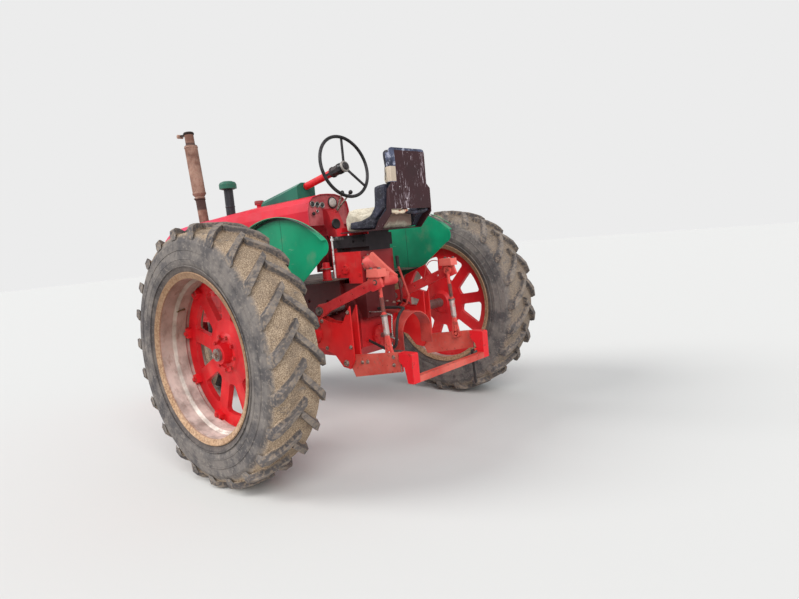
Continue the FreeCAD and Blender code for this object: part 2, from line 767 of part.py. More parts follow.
for index in range(slot_count):
    y = -float(grille_half) + (index + 0.5) * pitch
    slots.append(prism((
        (grille_front - 28, S.hood_skirt - 40), (grille_front + 10, S.hood_skirt - 40),
        (grille_front + 10, S.hood_skirt - 120), (grille_front - 56, grille_low + 60),
        (grille_front - 94, grille_low + 60), (grille_front - 28, S.hood_skirt - 112),
    ), y - pitch * 0.3, y + pitch * 0.3))
finish(solid("grille_mass", grille.cut(slots)), "grille")

# Instrument panel closing the rear of the hood: gauges, a lamp, a switch
panel_x = S.hood_rear + 10
blank = Part.makeBox(26, 500, 260, Vector(float(panel_x), -250, float(S.hood_skirt) + 80))
panel = hood_loft(float(S.sheet_wall + S.running_gap), 30).common(blank)
dials = []
for y, z, radius, out in ((150, 1676, 21, 5), (104, 1672, 21, 5), (58, 1668, 21, 5), (112, 1624, 11, 8),
                          (-40, 1684, 40, 12), (158, 1606, 15, 5)):
    dials.append(rod((panel_x - out, y, z), (panel_x + 2, y, z), radius))
finish(solid("panel", panel.fuse(dials)), "instrument_panel")

# Control pedestal below the panel, with its dark ring and two hand levers
pedestal = prism((
    (60, S.deck_top), (150, S.deck_top), (150, 1400), (panel_x, 1530), (panel_x, 1640), (150, 1620), (70, 1440),
), -55, 55)
ring = rod((86, 34, 1520), (108, 34, 1520), 34)
levers = [ring]
for foot_x, foot_y, tip_x, tip_y, tip_z in ((160, -40, 156, -120, 1753), (150, -20, 48, -104, 1744)):
    levers.append(rod((foot_x, foot_y, 1600), (tip_x, tip_y, tip_z), 6))
    levers.append(Part.makeSphere(15, Vector(tip_x, tip_y, tip_z)))
finish(solid("pedestal", pedestal.fuse(levers)), "control_pedestal")

# Steering shaft fairing on the hood, the column tube and the steering wheel
deck_line = float(S.hood_top_rear)


def wedge(x, a, top, foot):
    points = [Vector(x, -a, foot), Vector(x, -a, top - 34), Vector(x, -a * 0.5, top - 6), Vector(x, a * 0.5, top - 6),
              Vector(x, a, top - 34), Vector(x, a, foot)]
    return Part.makePolygon(points + points[:1])


fairing_rear = float(S.hood_rear) + 240
fairing_front = fairing_rear + 550
front_line = float(hood_top(fairing_front))
fairing = Part.makeLoft([
    wedge(fairing_rear, 88, deck_line + 120, deck_line - 24),
    wedge(fairing_front, 40, front_line + 48, front_line - 24),
], True, True).cut(hood_loft(-gap, 0))
finish(solid("fairing", fairing), "shaft_fairing")
column_tilt = math.degrees(math.atan2(98, 500))
column_way = Vector(-500, 0, 98).normalize()
column_start = Vector(fairing_rear - 5.6, 0, deck_line + 84)
column_end = column_start + column_way * 418
sleeve = rod(column_start + column_way * 318, column_end, S.column_radius + 9)
finish(solid("column", rod(column_start, column_end, S.column_radius).fuse(sleeve)), "steering_column")

# Steering wheel: rim, three flat spokes and a domed hub, square to the column
rim_ring = Part.makeTorus(float(S.wheel_rim_radius), float(S.wheel_tube_radius))
hub = Part.makeCone(40, 30, 38, Vector(0, 0, -38))
button = Part.makeCylinder(26, 14, Vector(0, 0, 0))
spokes = []
for angle in (110, 230, 350):
    spoke = Part.makeBox(float(S.wheel_rim_radius) - 24, 18, 8, Vector(20, -9, -10))
    spoke.rotate(Vector(), Vector(0, 0, 1), angle)
    spokes.append(spoke)
wheel = rim_ring.fuse([hub, button] + spokes).removeSplitter()
wheel_at = column_end + column_way * (38 + gap)
face = Rotation(Vector(0, 1, 0), -90 + column_tilt)
finish(solid("wheel_ring", wheel), "steering_wheel", wheel_at, face)

# Exhaust: pipe, can and neck in one leaning line, with a hinged rain cap
can_floor = S.pipe_length + 20
can_top = can_floor + S.can_length
neck = S.stack_radius - 2
stack_profile = (
    (0, 0), (S.stack_radius, 0), (S.stack_radius, S.pipe_length), (S.can_radius, can_floor),
    (S.can_radius, can_top), (neck, can_top + 12), (neck, can_top + S.neck_length), (neck - 6, can_top + S.neck_length),
    (neck - 6, can_top + 18), (0, can_top + 18),
)
leaning = Rotation(Vector(0, 1, 0), float(S.stack_lean))
finish(turned("stack", stack_profile), "muffler", (stack_x, 0, S.stack_floor), leaning)
disc = Part.makeCylinder(float(S.stack_radius) + 3, 5)
arm = prism(((-20, 0), (float(S.stack_radius) + 12, 0), (170, 30), (170, 42), (float(S.stack_radius) + 6, 14), (-20, 10)),
            -9, 9)
weight = Part.makeCylinder(13, 40, Vector(168, -20, 36), Vector(0, 1, 0))
lid_at = stack_foot + lean * float(can_top + S.neck_length + S.running_gap)
finish(solid("cap_mass", disc.fuse([arm, weight])), "rain_cap", lid_at, leaning)

# Air intake: dark stem and mushroom-shaped pre-cleaner
cleaner = turned("cleaner", (
    (0, cover_top + S.running_gap), (S.stem_radius, cover_top + S.running_gap), (S.stem_radius, 1930),
    (S.cleaner_radius, 1940), (S.cleaner_radius, 1978), (S.cleaner_radius - 10, 1996), (S.cleaner_radius - 36, 2006),
    (0, 2010),
))
finish(cleaner, "pre_cleaner", (stem_x, 0, 0))

# Deck plate and its two fenders, and the small canister that stands on the deck
deck = slab("deck", "XY_Plane", (
    (-120, -S.deck_half_width), (deck_front, -S.deck_half_width), (deck_front, S.deck_half_width),
    (-120, S.deck_half_width),
), S.deck_top - S.plate_wall, S.plate_wall)
finish(deck, "deck_plate")
canister = turned("canister", (
    (0, 0), (36, 0), (36, 8), (29, 8), (29, 70), (40, 74), (40, 86), (27, 92), (24, 122), (0, 126),
))
finish(canister, "deck_canister", (-60, 300, S.deck_top))


def on_fender(radius, degrees):
    turn = math.radians(degrees)
    return radius * math.cos(turn), S.axle_height + radius * math.sin(turn)


crown = S.axle_height + S.fender_radius
inner_radius = S.fender_radius - 4
for name, way in SIDES:
    front_x, front_z = on_fender(S.fender_radius, 25)
    under_x, under_z = on_fender(inner_radius, 25)
    web = (
        (-180, S.deck_top + 16), (-415, S.deck_top + 180), (-448, S.deck_top + 278, -462, S.deck_top + 232),
        (front_x, front_z, 0, crown), (front_x - 80, S.deck_top - 130), (120, S.deck_top - 90),
    )
    face = S.deck_half_width + 4 if way > 0 else -S.deck_half_width
    skin = slab("web_" + name, "XZ_Plane", web, face, 4)
    edge = slab("lip_" + name, "XZ_Plane", (
        (-448, S.deck_top + 278), (front_x, front_z, 0, crown), (under_x, under_z),
        (-446, S.deck_top + 274, 0, crown - 4),
    ), S.deck_half_width + S.fender_lip if way > 0 else -S.deck_half_width, S.fender_lip)
    finish(fuse("fender_mass_" + name, [skin, edge]), "fender_" + name)

# Seat pedestal: a closed housing with a round cover on its left side
base_top = S.seat_floor - 130
base = slab("seat_base", "XZ_Plane", (
    (-270, 1090), (-128, 1090), (-128, S.deck_top), (0, S.deck_top), (0, base_top), (-270, base_top),
), 160, 320)
side_cover = cylinder("side_cover", 34, 8, (-100, 160, 1190), "y")
finish(fuse("seat_base_mass", [base, side_cover]), "seat_pedestal")

# Seat suspension: a dark box between two channel rails, with a latch and a bright stay
bars = [box("suspension_box", (-300, -105, base_top), (-112, 105, S.seat_floor))]
for name, way in SIDES:
    low, high = (105, 132) if way > 0 else (-132, -105)
    bars.append(box("suspension_rail_" + name, (-300, low, S.seat_floor - 100), (40, high, S.seat_floor - 15)))
bars.append(box("suspension_cross", (14, -105, S.seat_floor - 100), (40, 105, S.seat_floor - 15)))
bars.append(box("seat_latch", (-92, 100, S.seat_floor - 15), (-40, 150, S.seat_floor + 40)))
bars.append(box("stay_lug", (-8, 132, S.seat_floor - 42), (10, 176, S.seat_floor - 26)))
bars.append(solid("stay", upright(1, 169, S.deck_top + 1, S.seat_floor - 10, 6)))
finish(fuse("suspension", bars), "seat_suspension")

# Seat shell: a stepped steel back, two side arms and the pan below the cushion
pan_top = S.seat_floor + 8
wide = S.seat_half_width
narrow = wide - 33
top = S.seat_top
back_plate = slab("back_plate", "YZ_Plane", (
    (-wide, S.seat_floor + 125), (-wide, top - 255), (-narrow, top - 225), (-narrow, top - 25),
    (-narrow + 25, top, -narrow + 7, top - 7), (narrow - 25, top), (narrow, top - 25, narrow - 7, top - 7),
    (narrow, top - 225), (wide, top - 255), (wide, S.seat_floor + 125),
), -622, 8)
pan_plate = box("pan_plate", (-500, -wide + 5, S.seat_floor), (-130, wide - 5, pan_top))
arms = []
for name, way in SIDES:
    low, high = (wide - 8, wide) if way > 0 else (-wide, -wide + 8)
    arms.append(solid("seat_arm_" + name, prism((
        (-622, top - 255), (-604, top - 255), (-585, S.seat_floor + 122), (-505, S.seat_floor + 62),
        (-470, pan_top), (-470, S.seat_floor), (-520, S.seat_floor), (-622, S.seat_floor + 100),
    ), low, high)))
    low, high = (narrow - 5, narrow) if way > 0 else (-narrow, -narrow + 5)
    arms.append(box("back_edge_" + name, (-616, low, top - 214), (-586, high, top - 28)))
finish(fuse("shell_mass", [back_plate, pan_plate] + arms), "seat_shell")

# Seat cushion, two side bolsters and the backrest
pad_half = 150
cushion = slab("cushion", "XZ_Plane", (
    (-496, pan_top + S.running_gap), (-134, pan_top + S.running_gap), (-130, S.seat_floor + 90),
    (-168, S.seat_floor + 151), (-300, S.seat_floor + 140), (-456, S.seat_floor + 142), (-496, S.seat_floor + 100),
), pad_half, pad_half * 2)
finish(cushion, "seat_cushion")
for name, way in SIDES:
    low = pad_half + S.running_gap
    thick = wide - low
    bolster = slab("bolster_" + name, "XZ_Plane", (
        (-232, pan_top + S.running_gap), (-232, S.seat_floor + 60), (-340, S.seat_floor + 75),
        (-425, S.seat_floor + 105), (-470, S.seat_floor + 160), (-497, S.seat_floor + 285),
        (-590, S.seat_floor + 292), (-574, S.seat_floor + 132), (-492, S.seat_floor + 70),
        (-458, pan_top + S.running_gap),
    ), low + thick if way > 0 else -low, thick)
    finish(bolster, "seat_bolster_" + name)
edge_half = narrow - 5 - S.running_gap
back_low = slab("back_low", "XZ_Plane", (
    (-614 + S.running_gap, S.seat_floor + 150), (-520, S.seat_floor + 145.5), (-532, S.seat_floor + 292.6),
    (-614 + S.running_gap, S.seat_floor + 292.6),
), pad_half, pad_half * 2)
back_high = slab("back_high", "XZ_Plane", (
    (-614 + S.running_gap, S.seat_floor + 292.6), (-532, S.seat_floor + 292.6), (-548, top - 14),
    (-570, top + 2), (-614 + S.running_gap, top - 2),
), edge_half, edge_half * 2)
finish(fuse("back", [back_low, back_high]), "seat_backrest")

# Hydraulic unit at the rear of the seat pedestal
dome = turned("dome", ((0, 0), (53, 0), (53, 34), (44, 58), (24, 72), (0, 76)))
finish(dome, "hydraulic_dome", (-270 - S.running_gap, 105, 1225), Rotation(Vector(0, 1, 0), -90))
finish(cylinder("filter", 48, 90, (-318.3, 105, 1078)), "oil_filter")

# Rear cover on the case, with the bent shift rod of the drive shaft
cover = prism((
    (case_rear, 860), (-140, 1000), (-40, 1000), (-40, 1090), (-270, 1090), (-270, 850), (-245, 835), (case_rear, 835),
), -150, 150)
route = [Vector(-268, -50, 1060), Vector(-380, -50, 1106), Vector(-410, -50, 1070), Vector(-420, -50, 985),
         Vector(-408, -50, 930), Vector(-372, -50, 902)]
bent = [rod(a, b, 9) for a, b in zip(route, route[1:])] + [Part.makeSphere(9, point) for point in route[1:-1]]
finish(solid("cover_mass", cover.fuse(bent)), "lift_cover")

# Rockshaft with its two lift arms; each arm ends in a plate with a cap over the rod
plate_half = S.hitch_plate_wall / 2
rod_y = S.hitch_half_span - plate_half - 15
arm_y = rod_y + S.arm_wall / 2 + 18
shaft = cylinder("rockshaft_bar", S.shaft_radius, (arm_y + 14) * 2, (S.shaft_x, -arm_y - 14, S.shaft_z), "y")
finish(shaft, "rockshaft")
pivot = Vector(float(S.shaft_x), 0, float(S.shaft_z))
end = Vector(float(S.arm_end_x), 0, float(S.arm_end_z))
reach = (end - pivot).Length
along = (end - pivot).normalize()
across = Vector(-along.z, 0, along.x)
arm_outline = [
    pivot + along * a + across * b
    for a, b in ((-46, -30), (0, -48), (80, -32), (reach - 62, -32), (reach - 46, -46), (reach + 46, -46),
                 (reach + 46, 46), (reach - 46, 46), (reach - 62, 32), (80, 32), (0, 48), (-46, 30))
]
for name, way in SIDES:
    low, high = sorted((way * (float(arm_y) - float(S.arm_wall) / 2), way * (float(arm_y) + float(S.arm_wall) / 2)))
    arm = prism([(p.x, p.z) for p in arm_outline], low, high)
    holes = [
        Part.makeCylinder(radius, 200, pivot + along * (reach * share) + Vector(0, low - 90, 0), Vector(0, 1, 0))
        for share, radius in ((0, float(S.shaft_radius) + gap), (0.38, 9), (0.6, 9), (0.8, 9),
                              (1, float(S.link_pin_radius) + float(S.shaft_gap)))
    ]
    near, far = sorted((way * (float(rod_y) - 21), way * (float(arm_y) + 25)))
    extras = [prism(((end.x - 52, end.z + 33), (end.x + 56, end.z + 33), (end.x + 50, end.z + 83),
                     (end.x - 46, end.z + 83)), near, far)]
    if way > 0:
        edge = float(rod_y) - 18
        extras.append(rod((end.x, edge - 128, end.z), (end.x, edge, end.z), 30))
        extras.append(prism(((end.x - 30, end.z), (end.x + 30, end.z), (end.x + 40, end.z + 60),
                             (end.x - 40, end.z + 60)), edge - 40, edge))
        knee = (end.x + 60, end.z + 20)
        extras.append(prism(((end.x - 26, end.z + 26), (end.x + 12, end.z - 26), knee, (end.x + 204, end.z + 150),
                             (end.x + 176, end.z + 182), (end.x + 70, end.z + 96)), edge - 134, edge - 112))
    arm = arm.cut(holes).fuse(extras)
    finish(solid("arm_" + name, arm.removeSplitter()), "lift_arm_" + name)

# Drop brackets: two pointed fins each, clamped round the axle housing, with the hitch pin
# between them
fin = [
    (-372, 612), (-372, 972), (-344, 930), (-290, 852), (-150, 862), (-66, 889), (40, 889), (98, 838), (106, 770),
    (70, 696), (-60, 676), (-190, 640), (-262, 562), (-330, 552),
]
for name, way in SIDES:
    parts = []
    for side in (-1, 1):
        y = way * S.hitch_half_span + side * (S.fin_gap / 2 + S.fin_wall / 2)
        parts.append(slab("fin_%s_%d" % (name, side + 1), "XZ_Plane", [(x, z) for x, z in fin], y + S.fin_wall / 2,
                          S.fin_wall, ((0, S.axle_height, S.trumpet_radius + S.running_gap),)))
    low = way * S.hitch_half_span - S.fin_gap / 2
    parts.append(box("fin_web_" + name, (-250, low, 600), (-238, low + S.fin_gap, 845)))
    parts.append(cylinder("hitch_stud_" + name, S.hitch_pin_radius, S.fin_gap + S.fin_wall * 2,
                          (S.hitch_pin_x, low - S.fin_wall, S.hitch_pin_z), "y"))
    finish(fuse("bracket_mass_" + name, parts), "drop_bracket_" + name)

# Hitch frame: two side beams ending in blocks, and the crossbar between the blocks
hitch_rear = -S.hitch_reach
block_half = 30
for name, way in SIDES:
    beam = slab("hitch_beam_" + name, "XZ_Plane", (
        (-272, 572), (-272, 612), (-290, 632), (-340, 642), (-760, 690), (-760, 566), (-345, 495), (-318, 548),
        (-290, 556),
    ), S.hitch_half_span * way + plate_half, S.hitch_plate_wall,
        ((S.hitch_pin_x, S.hitch_pin_z, S.hitch_pin_radius + S.shaft_gap),))
    end_block = slab("hitch_block_" + name, "XZ_Plane", (
        (-758, 690), (hitch_rear + 8, 690), (hitch_rear, 682), (hitch_rear, 505), (hitch_rear + 46, 505),
        (hitch_rear + 66, 600), (-758, 640),
    ), S.hitch_half_span * way + block_half, block_half * 2)
    start = S.hitch_half_span - plate_half - 28 if way > 0 else -S.hitch_half_span + plate_half
    stud = cylinder("foot_stud_" + name, S.link_pin_radius, 28, (S.rod_foot_x, start, S.rod_foot_z), "y")
    parts = [beam, end_block, stud]
    if way < 0:
        edge = float(S.hitch_half_span)
        parts.append(solid("stand_rod", rod((-800, -edge, 560), (-800, -edge + 74, 560), 9).fuse([
            Part.makeSphere(9, Vector(-800, -edge + 74, 560)),
            rod((-800, -edge + 74, 560), (-806, -edge + 64, 330), 9)])))
    finish(fuse("hitch_side_mass_" + name, parts), "hitch_side_" + name)
inner = S.hitch_half_span - block_half
finish(box("crossbar", (hitch_rear, -inner, 505), (hitch_rear + 40, inner, 545)), "hitch_crossbar")

# Lift rods from the arms down to the hitch frame; the lower eye is open on its pin
foot_at = Vector(float(S.rod_foot_x), 0, float(S.rod_foot_z))
for name, way in SIDES:
    y = way * float(rod_y)
    side = Vector(0, y, 0)
    head_at = end + side
    low_at = foot_at + side
    down = (low_at - head_at).normalize()
    flat = Vector(0, 10, 0)
    low = Part.makeCylinder(32, 20, low_at - flat, Vector(0, 1, 0))
    eye = Part.makeCylinder(float(S.link_pin_radius) + 9, 60, low_at - flat * 3, Vector(0, 1, 0))
    high = Part.makeCylinder(28, 20, head_at - flat, Vector(0, 1, 0))
    link = rod(head_at - flat * way, head_at + flat * way + Vector(0, way * 34, 0), S.link_pin_radius)
    bar = rod(head_at, low_at, S.rod_radius)
    sleeve = rod(head_at + down * 200, head_at + down * 330, S.rod_radius + 7)
    top = head_at + down * 330
    yoke = prism(((top.x - 12, top.z), (top.x + 12, top.z), (low_at.x + 30, low_at.z), (low_at.x - 30, low_at.z)),
                 y - 9, y + 9)
    shape = bar.fuse([low, high, link, sleeve, yoke]).cut(eye).removeSplitter()
    finish(solid("rod_" + name, shape), "lift_rod_" + name)

# Power take-off shaft, and the arched guard band that a strap holds over it
finish(cylinder("pto", S.pto_radius, pto_face + 370, (-370, 0, S.pto_height), "x"), "pto_shaft")
low = S.pto_height - 60
arch = slab("guard", "YZ_Plane", (
    (-150, low), (-150, low + 130), (150, low + 130, 0, low + 240), (150, low), (144, low), (144, low + 128),
    (-144, low + 128, 0, low + 233), (-144, low),
), -580, 96)
strap = box("guard_strap", (-486, -45, low + 233), (-270 - S.running_gap, 45, low + 240))
finish(fuse("guard_mass", [arch, strap]), "pto_guard")

document.recompute()
failed = [item.Label for item in document.Objects if {"Invalid", "Error"} & set(item.State)]
failed += [item.Label for item in pieces if item.Shape.isNull() or not item.Shape.isValid()]
if failed:
    raise SystemExit("failed: " + ", ".join(failed))
os.makedirs("parts", exist_ok=True)
for item in pieces:
    item.Shape.exportStep("parts/%s.step" % item.Label)
    print(item.Label, len(item.Shape.Solids), round(item.Shape.Volume / 1e6, 2))
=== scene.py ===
import math

import bmesh
import bpy
from mathutils import Matrix, Vector, noise
from mathutils.bvhtree import BVHTree


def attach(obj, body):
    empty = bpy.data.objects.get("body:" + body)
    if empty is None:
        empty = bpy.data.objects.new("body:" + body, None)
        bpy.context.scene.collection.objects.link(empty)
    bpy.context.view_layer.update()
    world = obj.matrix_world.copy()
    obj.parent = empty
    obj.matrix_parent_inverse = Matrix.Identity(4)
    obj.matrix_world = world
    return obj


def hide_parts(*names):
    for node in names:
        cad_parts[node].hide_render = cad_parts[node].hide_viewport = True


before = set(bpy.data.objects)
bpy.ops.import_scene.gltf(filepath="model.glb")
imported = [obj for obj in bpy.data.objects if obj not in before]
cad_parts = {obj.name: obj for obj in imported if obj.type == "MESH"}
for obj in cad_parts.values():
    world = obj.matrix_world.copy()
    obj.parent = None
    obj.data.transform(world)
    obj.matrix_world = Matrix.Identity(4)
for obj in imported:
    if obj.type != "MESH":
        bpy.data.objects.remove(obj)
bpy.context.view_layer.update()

# Farm tractor standing on its four wheels, seen from behind on its left. Metres, +X is
# the front of the tractor, +Y its left side; the rear axle crosses the middle at axle_x.
axle_x = -0.867
rear_radius = 0.785
rear_track = 1.135
sides = (("left", 1), ("right", -1))
world = bpy.context.scene.world or bpy.data.worlds.new("studio")
bpy.context.scene.world = world


# --- Studio -----------------------------------------------------------------------
# A pale floor and backdrop, a broad soft light ahead and to the left of the tractor, and
# a weaker one behind it, so every side is readable.
def shade(red, green, blue):
    """A colour as seen on screen, 0 to 255, in the light values that a shader takes."""
    steps = [value / 255 for value in (red, green, blue)]
    return [v / 12.92 if v <= 0.04045 else ((v + 0.055) / 1.055) ** 2.4 for v in steps] + [1.0]


def place(name, data):
    """A new object in the scene."""
    made = bpy.data.objects.new(name, data)
    bpy.context.scene.collection.objects.link(made)
    return made


# Name, the direction that the light comes from, how broad it looks, and its strength.
for name, source, spread, strength in (("key_sun", (0.55, 0.62, 0.62), 0.5, 1.9),
                                       ("rear_sun", (-0.66, 0.46, 0.60), 0.8, 2.2)):
    light = bpy.data.lights.new(name, "SUN")
    light.angle = spread
    light.energy = strength
    place(name, light).rotation_euler = Vector(source).to_track_quat("Z", "Y").to_euler()

world.use_nodes = True
sky = world.node_tree
sky.nodes.clear()
seen, lit, shown, direct, through, switch, end = (sky.nodes.new("ShaderNode" + kind) for kind in (
    "LightPath", "Background", "Background", "Math", "Math", "MixShader", "OutputWorld"))
lit.inputs["Color"].default_value = shade(226, 230, 236)
lit.inputs["Strength"].default_value = 0.62
shown.inputs["Color"].default_value = shade(236, 236, 236)
shown.inputs["Strength"].default_value = 1.0
direct.operation = through.operation = "MAXIMUM"
for source, output, target, socket in (
    (seen, "Is Camera Ray", direct, 0), (seen, "Is Glossy Ray", direct, 1), (direct, 0, through, 0),
    (seen, "Is Transmission Ray", through, 1), (through, 0, switch, 0), (lit, 0, switch, 1),
    (shown, 0, switch, 2), (switch, 0, end, 0),
):
    sky.links.new(source.outputs[output], target.inputs[socket])

floor_mesh = bpy.data.meshes.new("floor")
floor_mesh.from_pydata([(-40, -40, 0), (40, -40, 0), (40, 40, 0), (-40, 40, 0)], [],
                       [(0, 1, 2, 3)])
floor = place("floor", floor_mesh)
pale = bpy.data.materials.new("pale_floor")
pale.use_nodes = True
pale_face = pale.node_tree.nodes["Principled BSDF"]
pale_face.inputs["Base Color"].default_value = shade(214, 213, 210)
pale_face.inputs["Roughness"].default_value = 0.9
floor_mesh.materials.append(pale)

# The camera stands behind the left rear wheel at chest height, and its picture is
# slightly tilted.
yaw, pitch, roll = 0.83156, 0.11038, 0.08918
picture_width, focal_pixels, sensor_width = 799, 582.35, 36
camera_at = (-3.128 + axle_x, 2.947, 1.399)
ahead = Vector((math.cos(pitch) * math.cos(yaw), -math.cos(pitch) * math.sin(yaw),
                -math.sin(pitch)))
right = ahead.cross(Vector((0, 0, 1))).normalized()
above = right.cross(ahead)
across = right * math.cos(roll) - above * math.sin(roll)
up = above * math.cos(roll) + right * math.sin(roll)
camera = place("camera", bpy.data.cameras.new("camera"))
camera.data.sensor_width = sensor_width
camera.data.lens = focal_pixels * sensor_width / picture_width
facing = Matrix((across, up, -ahead)).transposed().to_4x4()
camera.matrix_world = Matrix.Translation(camera_at) @ facing
bpy.context.scene.camera = camera
bpy.context.scene.view_settings.view_transform = "Standard"


# --- Rear tyres -------------------------------------------------------------------
# Bias-ply field tyres, moulded in black rubber. The bar tops are scuffed grey, dry
# yellow dust sits between the bars, and thin moulded rings run round the sidewalls.
class Reading:
    """One value inside a finish. Sums of readings and numbers become shader maths."""

    def __init__(self, finish, socket):
        self.finish = finish
        self.socket = socket

    def join(self, operation, *values):
        return self.finish.node("Math", {"operation": operation}, dict(enumerate(values)))

    def __add__(self, other):
        return self.join("ADD", self, other)

    def __sub__(self, other):
        return self.join("SUBTRACT", self, other)

    def __rsub__(self, other):
        return self.join("SUBTRACT", other, self)

    def __mul__(self, other):
        return self.join("MULTIPLY", self, other)

    def __abs__(self):
        return self.join("ABSOLUTE", self)

    def waves(self):
        return self.join("SINE", self)

    def most(self, other):
        return self.join("MAXIMUM", self, other)

    __radd__ = __add__
    __rmul__ = __mul__


class Finish:
    """A surface worked out from the place of each point on the tractor."""

    def __init__(self, name):
        self.material = bpy.data.materials.new(name)
        self.material.use_nodes = True
        self.tree = self.material.node_tree
        self.face = self.tree.nodes["Principled BSDF"]
        self.face.inputs["Specular IOR Level"].default_value = 0.3
        self.place = self.node("TexCoord", out="Object")

    def node(self, kind, settings=None, inputs=None, out=0):
        made = self.tree.nodes.new("ShaderNode" + kind)
        for key, value in (settings or {}).items():
            setattr(made, key, value)
        self.feed(made, inputs or {})
        return Reading(self, made.outputs[out])

    def feed(self, node, inputs):
        for key, value in inputs.items():
            if isinstance(value, Reading):
                self.tree.links.new(value.socket, node.inputs[key])
            else:
                node.inputs[key].default_value = value

    def axis(self, letter):
        return self.node("SeparateXYZ", inputs={0: self.place}, out=letter)

    def vector(self, operation, first, second, out=0):
        return self.node("VectorMath", {"operation": operation}, {0: first, 1: second}, out)

    def stretched(self, x, y, z):
        return self.vector("MULTIPLY", self.place, (x, y, z))

    def patches(self, scale, detail=3.0, at=None, rough=0.55):
        return self.node("TexNoise", inputs={
            "Vector": at or self.place, "Scale": scale, "Detail": detail, "Roughness": rough})

    def specks(self, scale):
        return self.node("TexVoronoi", inputs={"Vector": self.place, "Scale": scale})

    def between(self, value, low, high):
        """0 below low, 1 above high, and a soft step between them."""
        return self.node("MapRange", {"interpolation_type": "SMOOTHSTEP"}, {
            "Value": value, "From Min": low, "From Max": high})

    def tint(self, share, first, second):
        """A mix of two tones: readings, or colours as seen on screen."""
        first, second = (tone if isinstance(tone, Reading) else shade(*tone)
                         for tone in (first, second))
        return self.node("Mix", {"data_type": "RGBA"}, {0: share, 6: first, 7: second}, out=2)

    def radius(self, x, z):
        """Distance from a line across the tractor through x and z."""
        flat = self.vector("SUBTRACT", self.place, (x, 0, z))
        flat = self.vector("MULTIPLY", flat, (1, 0, 1))
        return self.node("VectorMath", {"operation": "LENGTH"}, {0: flat}, out="Value")

    def edges(self, width):
        """1 on sharp edges within the width, 0 on flat faces."""
        soft = self.node("Bevel", {"samples": 4}, {"Radius": width})
        hard = self.node("NewGeometry", out="Normal")
        return self.between(1 - self.vector("DOT_PRODUCT", soft, hard, "Value"), 0.015, 0.12)

    def wear(self, base, rough, height=None, depth=0.001, strength=0.5, metal=0.0):
        """Sets what the shader shows, and gives the finished material."""
        self.feed(self.face, {"Base Color": base, "Roughness": rough, "Metallic": metal})
        if height is not None:
            bump = self.node("Bump", inputs={"Height": height, "Distance": depth,
                                             "Strength": strength})
            self.feed(self.face, {"Normal": bump})
        return self.material


def dress(material, *nodes):
    """Gives nodes of the tractor a finish."""
    for name in nodes:
        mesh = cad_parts[name].data
        mesh.materials.clear()
        mesh.materials.append(material)


def tyre_rubber(name, x, radius, bead, floor_radius, middle, half, sag, dust=1.0):
    """Scuffed rubber of a tyre round x, whose bars end at its radius, with earth on its floor."""
    rubber = Finish(name)
    out = rubber.radius(x, radius)
    off = abs(abs(rubber.axis("Y")) - middle)
    wide = rubber.patches(9, 4)
    fine = rubber.patches(60, 5)
    grit = rubber.patches(170, 3)
    streaks = rubber.patches(22, 5, rubber.stretched(1, 0.35, 1), 0.65)
    level = out + rubber.between(off, half * 0.4, half * 0.86) * sag
    low = 1 - rubber.between(level, floor_radius + 0.003, floor_radius + 0.016)
    tread = rubber.between(out, floor_radius - 0.06, floor_radius - 0.03)
    wall = rubber.tint(rubber.between(wide, 0.36, 0.62), (84, 80, 80), (120, 113, 108))
    wall = rubber.tint(rubber.between(streaks, 0.5, 0.72) * 0.6, wall, (64, 61, 62))
    wall = rubber.tint(rubber.between(fine, 0.52, 0.72) * 0.5, wall, (152, 143, 134))
    earth = rubber.tint(rubber.between(grit, 0.38, 0.6), (192, 170, 145), (132, 112, 91))
    damp = rubber.between(wide + fine * 0.4, 0.62, 0.9)
    earth = rubber.tint(damp * 0.55, earth, (112, 98, 86))
    bars = rubber.tint((1 - low) * tread * 0.7, wall, (76, 72, 73))
    top = rubber.between(level, radius - 0.010, radius - 0.002)
    scuffed = 0.2 + rubber.between(streaks, 0.4, 0.62) * 0.8
    bars = rubber.tint(top * tread * scuffed, bars, (132, 122, 114))
    dusty = rubber.between(fine + streaks * 0.4, 0.66, 0.82)
    bars = rubber.tint(tread * dusty * 0.6, bars, (150, 133, 116))
    inside = 1 - rubber.between(off + fine * 0.02, half * 0.88, half * 0.97)
    dry = rubber.between(streaks + fine * 0.35, 0.42, 0.62) * dust
    skin = rubber.tint(low * tread * inside * dry, bars, earth)
    rim_side = 1 - rubber.between(out, bead + 0.012, bead + 0.05)
    skin = rubber.tint(rim_side * 0.45, skin, (92, 78, 70))
    ring_waves = 760
    rings = (out * ring_waves).waves() * (1 - tread) * 0.3
    relief = rings + fine * 1.2 + streaks * 0.8 + grit * 0.4
    return rubber.wear(skin, 0.78 + wide * 0.14, relief, 0.0012, 0.55)


rear_size = (axle_x, rear_radius, 0.508, 0.745, rear_track, 0.175, 0.017)
rear_rubber = {"left": tyre_rubber("rear_rubber", *rear_size),
               "right": tyre_rubber("clean_rubber", *rear_size, 0.4)}
for side, rubber in rear_rubber.items():
    dress(rubber, "rear_tyre_" + side)


# Height of the rear axle, for points given in millimetres.
axle_z = 785


def spot(x, y, z):
    """A point given in millimetres from the ground under the rear axle."""
    return Vector((axle_x + x / 1000, y / 1000, z / 1000))


